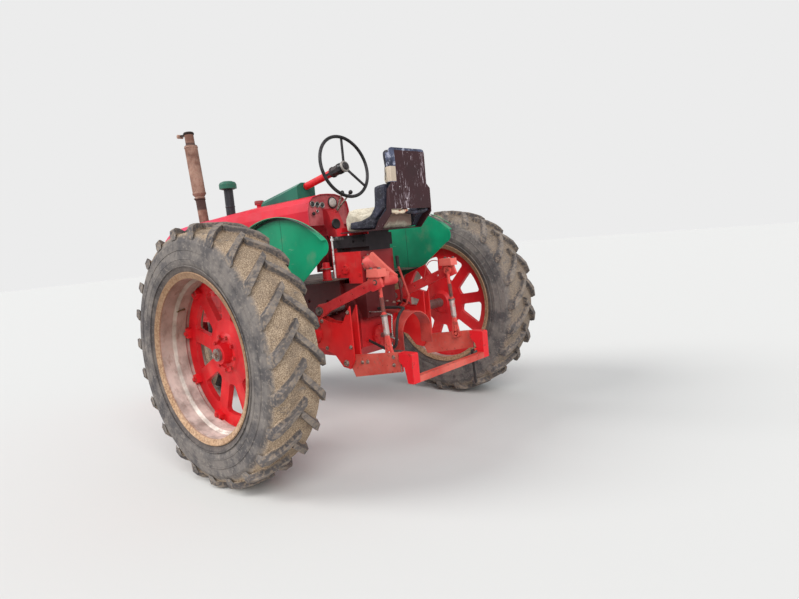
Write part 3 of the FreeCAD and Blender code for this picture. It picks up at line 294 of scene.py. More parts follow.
def spun(profile, at, axis, steps=48):
    """A (radius, along) outline in millimetres, turned about an axis through a point. It is
    closed to a ring, unless it starts or ends on the axis."""
    mesh = bpy.data.meshes.new("spun")
    count = len(profile)
    closed = profile[0][0] > 0 and profile[-1][0] > 0
    points, faces = [], []
    turn = Vector((0, 0, 1)).rotation_difference(Vector(axis)).to_matrix()
    for step in range(steps):
        angle = math.tau * step / steps
        for radius, along in profile:
            flat = Vector((radius * math.cos(angle), radius * math.sin(angle), along))
            points.append(turn @ (flat / 1000) + at)
    for step in range(steps):
        here, ahead_of = step * count, (step + 1) % steps * count
        for index in range(count if closed else count - 1):
            after = (index + 1) % count
            faces.append((here + index, here + after, ahead_of + after, ahead_of + index))
    mesh.from_pydata(points, [], faces)
    loose = bmesh.new()
    loose.from_mesh(mesh)
    bmesh.ops.remove_doubles(loose, verts=loose.verts, dist=1e-6)
    bmesh.ops.recalc_face_normals(loose, faces=loose.faces)
    loose.to_mesh(mesh)
    loose.free()
    return mesh


def merged(name, meshes):
    """Several meshes as one."""
    whole = bmesh.new()
    for mesh in meshes:
        whole.from_mesh(mesh)
    result = bpy.data.meshes.new(name)
    whole.to_mesh(result)
    whole.free()
    return result


def settle(name, shape, material, body="chassis", smooth=True):
    """Puts a mesh, or a list of them as one, on one body of the tractor, in one finish."""
    mesh = merged(name, shape) if isinstance(shape, list) else shape
    mesh.materials.clear()
    mesh.materials.append(material)
    if smooth:
        mesh.shade_smooth()
    piece = place(name, mesh)
    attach(piece, body)
    return piece


for side, way in sides:
    rings = [spun([(radius - 4, -3), (radius - 2, 3), (radius + 2, 3), (radius + 4, -3)],
                  spot(0, way * 1135 + face * out, axle_z), (0, face, 0), 96)
             for face in (1, -1) for radius, out in ((547.5, 173.3), (588, 175), (640, 173.3))]
    settle("tyre_rings_" + side, rings, rear_rubber[side], "rear_wheel_" + side)


# The valve stem leans out of the rim's outer side between two clamps.
def mottled(name, scale, first, second, rough, detail=3, depth=0.0, strength=0.5, metal=0.0,
            band=None, haze=0.0):
    """A plain surface in two tones, mixed by patches or by the band of them that is given."""
    coat = Finish(name)
    patch = coat.patches(scale, detail)
    tone = coat.tint(coat.between(patch, *band) if band else patch, first, second)
    return coat.wear(tone, rough + patch * haze if haze else rough, patch if depth else None,
                     depth, strength, metal)


brass = mottled("valve_brass", 140, (126, 112, 74), (90, 84, 70), 0.45, metal=0.8)
valve_turn, valve_reach = 0.62, 457
for side, way in sides:
    outward = (math.cos(valve_turn), math.sin(valve_turn))
    stem = spun([(0, 0), (7.5, 0), (6.5, 16), (4.2, 22), (4.2, 44), (5.2, 46), (5.2, 58), (3, 61),
                 (0, 61)],
                spot(valve_reach * outward[0], way * 1140, axle_z + valve_reach * outward[1]),
                (-0.25 * outward[0], way, -0.25 * outward[1]), 16)
    settle("valve_" + side, stem, brass, "rear_wheel_" + side)


# --- Rear rims --------------------------------------------------------------------
# Rolled steel barrels whose silver coat has chalked, with rust along both flanges and
# brown run marks where water stood in the drop centre.
coat = Finish("rim_steel")
out = coat.radius(axle_x, rear_radius)
blotch = coat.patches(7, 5)
fine = coat.patches(70, 5)
off = abs(abs(coat.axis("Y")) - rear_track)
silver = coat.tint(coat.between(blotch, 0.3, 0.66), (146, 134, 126), (224, 213, 203))
# Painted shade: above the hub the barrel turns darker and browner.
painted_shade_above_hub = coat.between(coat.axis("Z") + blotch * 0.3, 0.62, 1.22)
silver = coat.tint(painted_shade_above_hub * 0.8, silver, coat.tint(blotch, (110, 90, 76), (150, 126, 108)))
stain = coat.between(coat.patches(9, 7, coat.stretched(1, 2.4, 1), 0.68), 0.5, 0.72)
silver = coat.tint(stain * 0.6, silver, (122, 88, 72))
flange = coat.between(off + blotch * 0.008, 0.144, 0.150) * coat.between(out, 0.470, 0.476)
rusty = coat.tint(coat.between(fine, 0.36, 0.64), (150, 112, 80), (198, 162, 126))
# Painted shade: the flanges also darken above the hub.
rusty = coat.tint(painted_shade_above_hub * 0.6, rusty, (124, 92, 66))
skin = coat.tint(flange * 0.9, silver, rusty)
chips = coat.between(coat.specks(46) + fine * 0.4, 0.2, 0.3)
skin = coat.tint((1 - chips) * 0.35, skin, (112, 74, 56))
dress(coat.wear(skin, 0.52 + stain * 0.25 + fine * 0.1, fine + stain * 0.6, 0.0006, 0.5, 0.3),
      "rear_rim_left", "rear_rim_right")


# --- Wheel centres ----------------------------------------------------------------
# Grey-iron castings with nine flat spokes, brushed over in bright red enamel. Nine
# clamp bolts hold the rim, nine studs and a hub nut hold the centre on its axle.
def cast_enamel(name, light, dark, grease=0.5, chip=0.5, gloss=0.42, black=None, bleached=None):
    """Brushed enamel on a rough casting, greasy in its corners and chipped on its edges.
    Between the two heights given as black, the paint is darkened nearly to black as painted
    shade, for the shadow under the deck; above the height bleached, the sun has turned it salmon
    pink."""
    coat = Finish(name)
    wide = coat.patches(4.5, 6, rough=0.65)
    middle = coat.patches(16, 8, rough=0.72)
    fine = coat.patches(150, 4)
    paint = coat.tint(coat.between(wide, 0.3, 0.7), dark, light)
    chalk = coat.between(coat.patches(11, 6, coat.stretched(1, 1, 0.5), 0.65), 0.5, 0.78)
    paint = coat.tint(chalk * 0.3, paint, (214, 104, 92))
    film = coat.between(wide * 0.6 + middle * 0.4, 0.66 - grease * 0.2, 0.86 - grease * 0.1)
    paint = coat.tint(film * (0.25 + grease * 0.45), paint, (70, 28, 28))
    soil = coat.between(middle, 0.72 - grease * 0.1, 0.84 - grease * 0.1)
    paint = coat.tint(soil * 0.7, paint, (52, 28, 26))
    worn = coat.edges(0.005) * coat.between(middle, 0.66 - chip * 0.2, 0.74 - chip * 0.2)
    paint = coat.tint(worn * 0.9, paint, (128, 96, 84))
    pits = coat.between(coat.specks(120) + fine * 0.3, 0.16, 0.26)
    paint = coat.tint((1 - pits) * chip * 0.4, paint, (84, 44, 38))
    if bleached:
        pink = coat.between(coat.axis("Z") + wide * 0.1, bleached, bleached + 0.1)
        paint = coat.tint(pink * 0.8, paint, coat.tint(middle, (240, 138, 120), (222, 96, 88)))
    # Painted shade: between the two heights the paint is darkened almost to black, for the shadow
    # under the deck.
    if black:
        rise = coat.axis("Z") + wide * 0.12 - 0.06
        painted_shade_band = coat.between(rise, black[0], black[0] + 0.05)
        painted_shade_band = painted_shade_band * (1 - coat.between(rise, black[1], black[1] + 0.05))
        paint = coat.tint(painted_shade_band * 0.84, paint, coat.tint(middle, (26, 12, 14), (66, 30, 30)))
    relief = fine * 0.8 + middle * 0.5 - worn * 0.4
    return coat.wear(paint, gloss + soil * 0.35 + fine * 0.12, relief, 0.0011, 0.5)


wheel_enamel = cast_enamel("wheel_enamel", (222, 30, 36), (190, 18, 28), 0.2, 0.5, 0.36)
dress(wheel_enamel, "wheel_centre_left", "wheel_centre_right")


# A bolt head stands in a washer: the washer's radius as a share of the head's, its height, how
# high the head starts, both in millimetres, and the turn from one head of a ring to the next.
washer_share, washer_height, head_foot, head_turn = 1.35, 2.4, 2, 1.7


def node_tree(name, inputs):
    """An empty tree with named inputs, its given values, and a function that adds nodes. A node
    given to that function as a value stands for its first output."""
    tree = bpy.data.node_groups.new(name, "GeometryNodeTree")
    for label, kind in inputs.items():
        tree.interface.new_socket(label, in_out="INPUT", socket_type="NodeSocket" + kind)
    tree.interface.new_socket("Geometry", in_out="OUTPUT", socket_type="NodeSocketGeometry")

    def add(kind, values, **settings):
        node = tree.nodes.new(kind)
        for key, value in settings.items():
            setattr(node, key, value)
        for key, value in values.items():
            if isinstance(value, bpy.types.Node):
                value = value.outputs[0]
            if isinstance(value, bpy.types.NodeSocket):
                tree.links.new(value, node.inputs[key])
            else:
                node.inputs[key].default_value = value
        return node

    return tree, tree.nodes.new("NodeGroupInput").outputs, add


def finish_tree(placed, given, add):
    """Ends a tree: its instances become one real mesh in the finish that is given."""
    real = add("GeometryNodeRealizeInstances", {"Geometry": placed})
    coated = add("GeometryNodeSetMaterial", {"Geometry": real, "Material": given["Finish"]})
    add("NodeGroupOutput", {0: coated})


def knobs_tree():
    """Bolt heads set evenly round a ring: each a washer with a six-sided head on it."""
    tree, given, add = node_tree("bolt_ring", {
        "Count": "Int", "Ring radius": "Float", "Head radius": "Float", "Head height": "Float",
        "First turn": "Float", "Finish": "Material"})
    circle = add("GeometryNodeMeshCircle", {"Vertices": given["Count"],
                                            "Radius": given["Ring radius"]})
    head = add("GeometryNodeMeshCylinder", {"Vertices": 6, "Radius": given["Head radius"],
                                            "Depth": given["Head height"]})
    half = add("ShaderNodeMath", {0: given["Head height"], 1: 0.5}, operation="MULTIPLY")
    raised = add("ShaderNodeMath", {0: half, 1: head_foot / 1000}, operation="ADD")
    lift = add("ShaderNodeCombineXYZ", {"Z": raised})
    head = add("GeometryNodeTransform", {"Geometry": head, "Translation": lift})
    wide = add("ShaderNodeMath", {0: given["Head radius"], 1: washer_share},
               operation="MULTIPLY")
    washer = add("GeometryNodeMeshCylinder", {"Vertices": 18, "Radius": wide,
                                              "Depth": washer_height / 1000})
    washer = add("GeometryNodeTransform", {"Geometry": washer,
                                           "Translation": (0, 0, washer_height / 2000)})
    bolt = add("GeometryNodeJoinGeometry", {0: washer})
    tree.links.new(head.outputs[0], bolt.inputs[0])
    number = add("GeometryNodeInputIndex", {})
    lean = add("ShaderNodeMath", {0: number, 1: head_turn}, operation="MULTIPLY")
    placed = add("GeometryNodeInstanceOnPoints", {
        "Points": circle, "Instance": bolt,
        "Rotation": add("ShaderNodeCombineXYZ", {"Z": lean})})
    turned = add("GeometryNodeTransform", {
        "Geometry": placed, "Rotation": add("ShaderNodeCombineXYZ", {"Z": given["First turn"]})})
    finish_tree(turned, given, add)
    return tree


def final_mesh(holder):
    """The mesh that an object ends up with, once its modifiers have run."""
    bpy.context.view_layer.update()
    seen_now = holder.evaluated_get(bpy.context.evaluated_depsgraph_get())
    return bpy.data.meshes.new_from_object(seen_now)


def grown(tree, values, start):
    """The plain mesh that a node tree makes from a starting mesh and these named values."""
    holder = place("grown", start)
    modifier = holder.modifiers.new("tree", "NODES")
    modifier.node_group = tree
    for item in tree.interface.items_tree:
        if item.in_out == "INPUT" and item.name in values:
            modifier[item.identifier] = values[item.name]
    mesh = final_mesh(holder)
    bpy.data.objects.remove(holder)
    return mesh


bolt_tree = knobs_tree()


def bolts(at, axis, material, head, height, count=1, ring=0, first=0.0):
    """A bolt head, or a ring of them, facing along an axis. Sizes in millimetres; angles start
    at the side nearest +X."""
    if count == 1:
        edge, top = head * washer_share, height + head_foot
        plate = [(0, 0), (edge, 0), (edge, washer_height), (0, washer_height)]
        nut = [(0, head_foot), (head, head_foot), (head, top), (0, top)]
        mesh = merged("bolt", [spun(plate, Vector(), (0, 0, 1), 18),
                               spun(nut, Vector(), (0, 0, 1), 6)])
    else:
        mesh = grown(bolt_tree, {"Count": count, "Ring radius": ring / 1000,
                                 "Head radius": head / 1000, "Head height": height / 1000,
                                 "First turn": first, "Finish": material},
                     bpy.data.meshes.new("grown"))
    axis = Vector(axis).normalized()
    side = Vector((1, 0, 0)) if abs(axis.x) < 0.9 else Vector((0, 1, 0))
    side = (side - axis * side.dot(axis)).normalized()
    turn = Matrix((side, axis.cross(side), axis)).transposed().to_4x4()
    mesh.transform(Matrix.Translation(at) @ turn)
    return mesh


worn_bolt = mottled("worn_bolt", 90, (118, 84, 72), (160, 144, 134), 0.5, 4, 0.0004, 0.4, 0.3,
                    (0.4, 0.6))
red_bolt = cast_enamel("red_bolt", (206, 30, 36), (160, 20, 26), 0.4, 0.9, 0.4)
spoke_turn, stud_turn = math.radians(13), 0.35
for side, way in sides:
    body = "rear_wheel_" + side
    turn_up = -way * spoke_turn
    heads = [bolts(spot(0, way * 1119, axle_z), (0, way, 0), red_bolt, 13.5, 11, 9, 442.5,
                   turn_up),
             bolts(spot(0, way * 1117, axle_z), (0, way, 0), red_bolt, 10.5, 10, 9, 103.2,
                   turn_up + stud_turn)]
    nut = bolts(spot(0, way * 1173.5, axle_z), (0, way, 0), worn_bolt, 21, 16)
    settle("hub_nut_" + side, nut, worn_bolt, body, smooth=False)
    settle("wheel_bolts_" + side, heads, red_bolt, body, smooth=False)


# --- Front wheels -----------------------------------------------------------------
# Two narrow ribbed tyres on pressed discs, close together under the nose. Each disc is
# red like the castings, with six wheel bolts and a pressed dust cap over the bearing.
dress(tyre_rubber("front_rubber", axle_x + 2.240, 0.362, 0.216, 0.346, 0.150, 0.080, 0.006),
      "front_tyre_left", "front_tyre_right")
disc_enamel = cast_enamel("disc_enamel", (206, 30, 38), (164, 20, 28), 0.35, 0.6, 0.4)
dress(disc_enamel, "front_rim_left", "front_rim_right")
for side, way in sides:
    body = "front_wheel_" + side
    cap = spun([(0, 0), (38, 0), (38, 4), (31, 6), (29, 22), (22, 30), (0, 32)],
               spot(2240, way * 190, 362), (0, way, 0), 32)
    heads = bolts(spot(2240, way * 174, 362), (0, way, 0), worn_bolt, 11, 10, 6, 92)
    settle("wheel_cap_" + side, cap, disc_enamel, body)
    settle("front_bolts_" + side, heads, worn_bolt, body, smooth=False)


# --- Transmission castings ----------------------------------------------------------
# Gearbox and final drive case, clutch housing and the two axle trumpets: one row of
# greasy red iron castings bolted together at their flanges.
def studs(places, axis, material, head, height):
    """Single bolt heads at places in millimetres, all facing one way."""
    return [bolts(spot(*place), axis, material, head, height) for place in places]


def side_studs(places, material, head, height, ways=(1, -1)):
    """Single bolt heads at (x, out from the middle, z) on both sides, facing outwards."""
    heads = []
    for way in ways:
        heads += studs([(x, way * out, z) for x, out, z in places], (0, way, 0), material, head,
                       height)
    return heads


# Between 0.80 and 1.20 m these castings are painted nearly black, as the shade under the deck.
case_enamel = cast_enamel("case_enamel", (208, 30, 34), (160, 18, 26), 0.6, 0.45, 0.44,
                          (0.80, 1.20))
dress(case_enamel, "rear_case", "clutch_housing", "axle_housing_left", "axle_housing_right",
      "lift_cover")
flange_bolts = side_studs([(x, 172, z) for x, z in (
    (120, 700), (120, 960), (330, 700), (330, 960), (510, 660), (510, 1060))], case_enamel, 11, 9)
for way in (1, -1):
    flange_bolts += [
        bolts(spot(0, way * 212.5, axle_z), (0, way, 0), case_enamel, 9.5, 9, 10, 108.5),
        bolts(spot(0, way * 520, axle_z), (0, way, 0), case_enamel, 8.5, 8, 8, 92.5)]
flange_bolts.append(bolts(spot(-245, 0, 700), (-1, 0, 0), case_enamel, 8.5, 8, 6, 62))
flange_bolts += studs([(x, y, z) for x, z in ((-270, 880), (-215, 680))
                       for y in (-120, -60, 60, 120)], (-1, 0, 0), case_enamel, 9, 8)
settle("case_bolts", flange_bolts, case_enamel, smooth=False)

# A machined cover with a rib sits on each side of the gearbox.
settle("case_covers", [
    spun([(0, 0), (74, 0), (74, 8), (60, 12), (26, 14), (22, 20), (0, 21)],
         spot(420, way * 172, 860), (0, way, 0), 40) for way in (1, -1)], case_enamel)


# --- Frame and front end ------------------------------------------------------------
# Two rolled channels run from the clutch housing to the front casting, held by bolts
# through their webs; the paint on them is dusty and scraped.
def row_tree():
    """Small rounded heads set along a path: rivets, louvres, stitches or ribs."""
    tree, given, add = node_tree("row_of_heads", {
        "Path": "Geometry", "Spacing": "Float", "Size": "Vector", "Sides": "Int",
        "Finish": "Material"})
    curve = add("GeometryNodeMeshToCurve", {0: given["Path"]})
    points = add("GeometryNodeCurveToPoints", {"Curve": curve, "Length": given["Spacing"]},
                 mode="LENGTH")
    head = add("GeometryNodeMeshUVSphere", {"Rings": 6, "Radius": 1.0,
                                            "Segments": given["Sides"]})
    placed = add("GeometryNodeInstanceOnPoints", {
        "Points": points.outputs["Points"], "Rotation": points.outputs["Rotation"],
        "Instance": head, "Scale": given["Size"]})
    finish_tree(placed, given, add)
    return tree


heads_tree = row_tree()


def row(points, spacing, size, material, closed=False, sides=10):
    """Heads along straight runs between points. Spacing and size (across, across and along)
    are in millimetres."""
    path = bpy.data.meshes.new("path")
    count = len(points)
    edges = [(index, (index + 1) % count) for index in range(count if closed else count - 1)]
    path.from_pydata(points, edges, [])
    return grown(heads_tree, {"Spacing": spacing / 1000, "Size": [part / 1000 for part in size],
                              "Sides": sides, "Finish": material}, path)


def bar(points, radius, closed=False, curved=False, sides=4):
    """A round bar or bead along points, straight between them or bending smoothly. Its radius
    is in millimetres."""
    curve = bpy.data.curves.new("bar", "CURVE")
    curve.dimensions = "3D"
    curve.bevel_depth = radius / 1000
    curve.bevel_resolution = sides
    curve.use_fill_caps = True
    spline = curve.splines.new("NURBS" if curved else "POLY")
    spline.points.add(len(points) - 1)
    for knot, point in zip(spline.points, points):
        knot.co = (*point, 1)
    spline.use_cyclic_u = closed
    if curved:
        spline.order_u = 3
        spline.use_endpoint_u = not closed
    holder = place("bar", curve)
    mesh = final_mesh(holder)
    bpy.data.objects.remove(holder)
    return mesh


rail_enamel = cast_enamel("rail_enamel", (198, 28, 34), (160, 20, 28), 0.4, 0.8, 0.42)
dress(rail_enamel, "frame_rail_left", "frame_rail_right", "front_bolster", "front_spindle")
rail_bolts = side_studs([(x, 206.5, z) for x in (990, 1080, 2060, 2130) for z in (788, 832)],
                        worn_bolt, 10, 8)
rail_bolts += side_studs([(x, 206.5, 810) for x in (1300, 1700, 1880)], worn_bolt, 12, 9)
settle("rail_bolts", rail_bolts, worn_bolt, smooth=False)

# Cap screws around the steering post's collar, and one on each side below it.
collar = studs([(2330, 110, 850), (2330, -110, 850)], (1, 0, 0), rail_enamel, 12, 10)
collar.append(bolts(spot(2240, 0, 905), (0, 0, 1), rail_enamel, 8.5, 8, 8, 72))
settle("post_bolts", collar, rail_enamel, smooth=False)


# --- Engine -------------------------------------------------------------------------
# Four-cylinder petrol engine: a red block and head under a pressed valve cover, dark with
# oil and dust, with its plugs, pipes, fan belt and hoses.
def route(*points):
    """Points given in millimetres from the ground under the rear axle."""
    return [spot(*point) for point in points]


def around(centre, radius, steps, first=(1, 0, 0), second=(0, 1, 0)):
    """Points set evenly on a circle, from the first direction towards the second. The radius
    is in millimetres."""
    return [centre + (Vector(first) * math.cos(math.tau * step / steps)
                      + Vector(second) * math.sin(math.tau * step / steps)) * (radius / 1000)
            for step in range(steps)]


engine_enamel = cast_enamel("engine_enamel", (184, 28, 32), (122, 18, 22), 0.85, 0.4, 0.46)
dress(engine_enamel, "engine_block")
black_rubber = mottled("black_rubber", 50, (26, 25, 26), (62, 58, 56), 0.72, 4, 0.0005, 0.4)
line_steel = mottled("line_steel", 60, (120, 112, 104), (98, 66, 48), 0.42, 4, 0.0003, 0.3, 0.7,
                     (0.45, 0.7))
head_bolts = studs([(x, y, 1300) for x in (1215, 1375, 1545, 1715, 1885) for y in (104, -104)],
                   (0, 0, 1), engine_enamel, 10, 9)
head_bolts += studs([(x, 144, z) for x in (1240, 1490, 1740, 1900) for z in (910, 1140)],
                    (0, 1, 0), engine_enamel, 8, 7)
settle("engine_bolts", head_bolts, engine_enamel, smooth=False)
white_clay = mottled("plug_clay", 120, (214, 208, 196), (150, 138, 120), 0.35)
plug_feet, plug_way = route(*((x, 118, 1262) for x in (1260, 1460, 1660, 1860))), (0, 0.86, 0.5)
settle("plug_insulators", [
    spun([(0, 16), (7.2, 16), (7.2, 40), (5.2, 52), (0, 54)], foot, plug_way, 16)
    for foot in plug_feet], white_clay)
settle("plug_shells", [
    spun([(0, 0), (12, 0), (12, 14), (9.2, 18), (0, 18)], foot, plug_way, 6)
    for foot in plug_feet], line_steel, smooth=False)
settle("engine_lines", [
    bar(route((1610, 190, 1070), (1610, 214, 1040), (1500, 214, 1000), (1380, 170, 990),
              (1330, 150, 1010)), 4, curved=True),
    bar(route((1310, 190, 1088), (1310, 190, 1130), (1270, 160, 1150), (1230, 146, 1120)), 4.5,
        curved=True)], line_steel)
settle("radiator_hoses", [
    bar(route((1990, 40, 1290), (2040, 40, 1330), (2080, 60, 1420), (2100, 60, 1482),
              (2138, 60, 1490)), 26, curved=True),
    bar(route((1995, -60, 870), (2045, -60, 890), (2080, -80, 925), (2135, -80, 930)), 26,
        curved=True)], black_rubber)
upper = around(spot(2012, 0, 1100), 46, 24, (0, 1, 0), (0, 0, 1))
lower = around(spot(2012, 0, 820), 74, 24, (0, 1, 0), (0, 0, 1))
settle("fan_belt", bar(upper[:13] + lower[12:] + lower[:1], 7, closed=True), black_rubber)


# --- Exhaust ------------------------------------------------------------------------
# Manifold, pipe and muffler can of thin steel burnt to brown rust, with a seam and two
# clamp bands; the flapping rain cap is black with soot.
coat = Finish("exhaust_rust")
large = coat.patches(7, 5)
fine = coat.patches(90, 5)
scale = coat.tint(coat.between(large, 0.34, 0.62), (116, 82, 70), (166, 132, 116))
scale = coat.tint(coat.between(fine, 0.5, 0.72) * 0.6, scale, (132, 84, 62))
scale = coat.tint(coat.between(coat.patches(24, 7, rough=0.7), 0.56, 0.74) * 0.6, scale,
                  (84, 62, 56))
up_it = coat.axis("Z") + large * 0.03
for low, high in ((1.80, 1.93), (2.412, 2.455)):
    burnt = coat.between(up_it, low, low + 0.02) * (1 - coat.between(up_it, high - 0.02, high))
    scale = coat.tint(burnt * 0.8, scale, (50, 36, 36))
rust = coat.wear(scale, 0.8, fine + large * 0.6, 0.0011, 0.7, 0.15)
dress(rust, "muffler", "exhaust_manifold")
soot = mottled("cap_soot", 80, (26, 23, 24), (66, 52, 46), 0.7, 5, 0.0008, 0.5, 0.3)
dress(soot, "rain_cap")
stack_lean = math.radians(6)
stack_way = Vector((math.sin(stack_lean), 0, math.cos(stack_lean)))
cap_way = Vector((stack_way.z, 0, -stack_way.x))
stack_foot = spot(1959, 0, 1520)
lid = stack_foot + stack_way * 0.9953
bands = [spun([(59.2, -9), (62.2, -6), (62.2, 6), (59.2, 9)], stack_foot + stack_way * rise,
              stack_way) for rise in (0.436, 0.874)]
bands += [
    spun([(44.2, -12), (47.5, -12), (47.5, 12), (44.2, 12)], stack_foot + stack_way * 0.385,
         stack_way, 40),
    bar([stack_foot + stack_way * rise + Vector((-0.0575, 0.012, 0.006))
         for rise in (0.44, 0.60, 0.75, 0.87)], 2.2),
    bolts(stack_foot + stack_way * 0.385 + Vector((0, 0.049, 0)), (0, 1, 0), rust, 8, 10)]
settle("muffler_bands", bands, rust)
pin = spun([(0, -16), (5, -16), (5, 16), (0, 16)], spot(2114.8, 0, 2504.4), (0, 1, 0), 14)
settle("cap_pin", pin, soot)
crown = spun([(0, 3), (48.5, 3), (49.5, 15), (44, 22), (0, 24.5)], lid, stack_way, 40)
arm = bar([lid + cap_way * reach + stack_way * rise
           for reach, rise in ((0.030, 0.014), (0.085, 0.020), (0.162, 0.034))], 10.5)
settle("cap_crown", [crown, arm], soot, "rain_cap_body")
weight = spun([(0, -27), (16.5, -27), (18.5, -24), (18.5, 24), (16.5, 27), (0, 27)],
              lid + cap_way * 0.162 + stack_way * 0.029, (0, 1, 0), 28)
settle("cap_weight", weight, rust, "rain_cap_body")


# --- Air pre-cleaner ----------------------------------------------------------------
# A dark painted stem and a green pressed cap with a louvred skirt and a centre nut.
coat = Finish("cleaner_paint")
mottle = coat.patches(24, 5)
paint = coat.tint(coat.between(coat.axis("Z"), 1.932, 1.940),
                  coat.tint(mottle, (26, 24, 32), (50, 52, 56)),
                  coat.tint(mottle, (20, 70, 54), (52, 112, 92)))
soil = coat.between(coat.patches(60, 4), 0.56, 0.74)
cleaner_paint = coat.wear(coat.tint(soil * 0.5, paint, (96, 88, 74)), 0.46 + soil * 0.3, mottle,
                          0.0006, 0.4)
dress(cleaner_paint, "pre_cleaner")
vents = row(around(spot(1505, 0, 1935), 55.5, 48), 12.5, (2.8, 2.8, 4.2), cleaner_paint,
            closed=True, sides=8)
band = spun([(40.2, -7), (42.5, -5), (42.5, 5), (40.2, 7)], spot(1505, 0, 1780), (0, 0, 1), 36)
settle("cleaner_trim", [vents, band], cleaner_paint)


# --- Hood and nose ------------------------------------------------------------------
# A long riveted sheet cover in crimson, rolled over a wire along its rear edge. Dust
# lies on top, the edges are scuffed, and two rows of louvres let the heat out.
def sheet_paint(name, light, dark, dust, worn_to, scratch=0.4, gloss=0.34, shaded_behind=None,
                pink_from=None):
    """Sprayed enamel on pressed sheet: even, glossy, dusty on top and worn at its edges. Behind
    shaded_behind along the tractor it is painted darker, as shade on the rear face, and ahead of
    pink_from it turns pinker towards the front."""
    coat = Finish(name)
    wide = coat.patches(2.6, 4)
    fine = coat.patches(210, 3)
    middle = coat.patches(17, 5)
    paint = coat.tint(coat.between(wide, 0.32, 0.68), dark, light)
    film = coat.between(coat.patches(6, 5) + middle * 0.3, 0.62, 0.9)
    paint = coat.tint(film * 0.2, paint, dust)
    # Ahead of the given x the paint turns pinker towards the front.
    if pink_from is not None:
        pink = coat.between(coat.axis("X"), pink_from, pink_from + 1.0)
        paint = coat.tint(pink * 0.5, paint, (208, 44, 104))
    streak = coat.between(coat.patches(34, 4, coat.stretched(1, 1, 0.16)), 0.62, 0.74)
    paint = coat.tint(streak * scratch * 0.5, paint, worn_to)
    bare = coat.edges(0.004) * coat.between(middle, 0.42, 0.58)
    paint = coat.tint(bare * 0.8, paint, worn_to)
    # Painted shade: behind the given x the paint is darkened, for the shade on the rear face.
    if shaded_behind is not None:
        rear_shade = 1 - coat.between(coat.axis("X"), shaded_behind - 0.002, shaded_behind + 0.002)
        paint = coat.tint(rear_shade * 0.75, paint, coat.tint(middle, (92, 26, 30), (132, 46, 50)))
    nicks = 1 - coat.between(coat.specks(42) + middle * 0.35, 0.2, 0.26)
    paint = coat.tint(nicks * scratch, paint, worn_to)
    relief = wide * 3 + fine * 0.12 + middle * 0.3
    return coat.wear(paint, gloss + film * 0.35 + streak * 0.2, relief, 0.0016, 0.35)


hood_enamel = sheet_paint("hood_enamel", (222, 12, 44), (196, 8, 38), (214, 120, 132),
                          (112, 48, 54), 0.3, 0.36, None, axle_x + 1.0)
dress(hood_enamel, "hood")
edge_red = sheet_paint("edge_red", (222, 88, 96), (190, 44, 62), (214, 160, 156), (110, 60, 56))
half_edge = ((202, 1440), (202, 1628), (188, 1686), (145, 1726), (73, 1745))
edge_points = route(*((191, -y, z) for y, z in half_edge), (191, 0, 1748),
                    *((191, y, z) for y, z in half_edge[::-1]))
settle("hood_rolled_edge", bar(edge_points, 3.4, sides=3), edge_red)
louvres, rivets, latches = [], [], []
for way in (1, -1):
    louvres += [row(route((1010, way * 201.5, z), (1420, way * 201, z)), 46, (5, 5.5, 18.5),
                    hood_enamel, sides=12) for z in (1500, 1540, 1580)]
    rivets.append(row(route((212, way * 202.2, 1452), (2040, way * 198.4, 1452)), 115,
                      (4.8, 4.8, 4.8), hood_enamel))
    rivets += [row(route((x, way * out, 1462), (x, way * out, 1604)), 35, (4.2, 4.2, 4.2),
                   hood_enamel) for x, out in ((520, 203), (1500, 200.8), (1980, 198.6))]
    for x, out in ((470, 203.5), (1640, 201)):
        latches.append(bar(route((x, way * out, 1474), (x, way * (out + 10), 1478),
                                 (x, way * (out + 8), 1510), (x, way * out, 1520)), 3.5))
        latches += side_studs([(x, out, 1466)], worn_bolt, 7.5, 6, (way,))
settle("hood_louvres", louvres, hood_enamel)
settle("hood_rivets", rivets, hood_enamel)
settle("hood_latches", latches, line_steel)
cap_black = mottled("filler_black", 40, (30, 28, 30), (62, 56, 56), 0.42, 4, 0.0004, 0.4, 0.3)
filler_red = cast_enamel("filler_red", (150, 52, 52), (112, 36, 38), 0.6, 0.8, 0.45)
crown = spun([(38.5, -30), (39.5, -24), (39.5, -4), (34, 2), (0, 3.5)], spot(1060, 0, 1786),
             (0, 0, 1), 40)
settle("filler_crown", crown, filler_red)

# The grille's slots show a dark screen, and the radiator behind is finned brass painted black.
grille_enamel = sheet_paint("grille_enamel", (204, 20, 46), (158, 14, 36), (180, 120, 116),
                            (84, 40, 40), 0.5)
dress(grille_enamel, "grille")
coat = Finish("radiator_core")
fin_waves, tube_waves = 1400, 520
fins = (coat.axis("Z") * fin_waves).waves()
tubes = (coat.axis("Y") * tube_waves).waves()
tone = coat.tint(coat.between(tubes + coat.patches(20, 5), 0.2, 0.9), (30, 29, 29), (70, 64, 56))
dress(coat.wear(tone, 0.6, fins * 0.5 + tubes, 0.0012, 0.7, 0.3), "radiator")
settle("grille_screen", [bar(route((2418, -132, z), (2418, 132, z)), 1.6, sides=1)
                         for z in range(1300, 1482, 14)], cap_black)


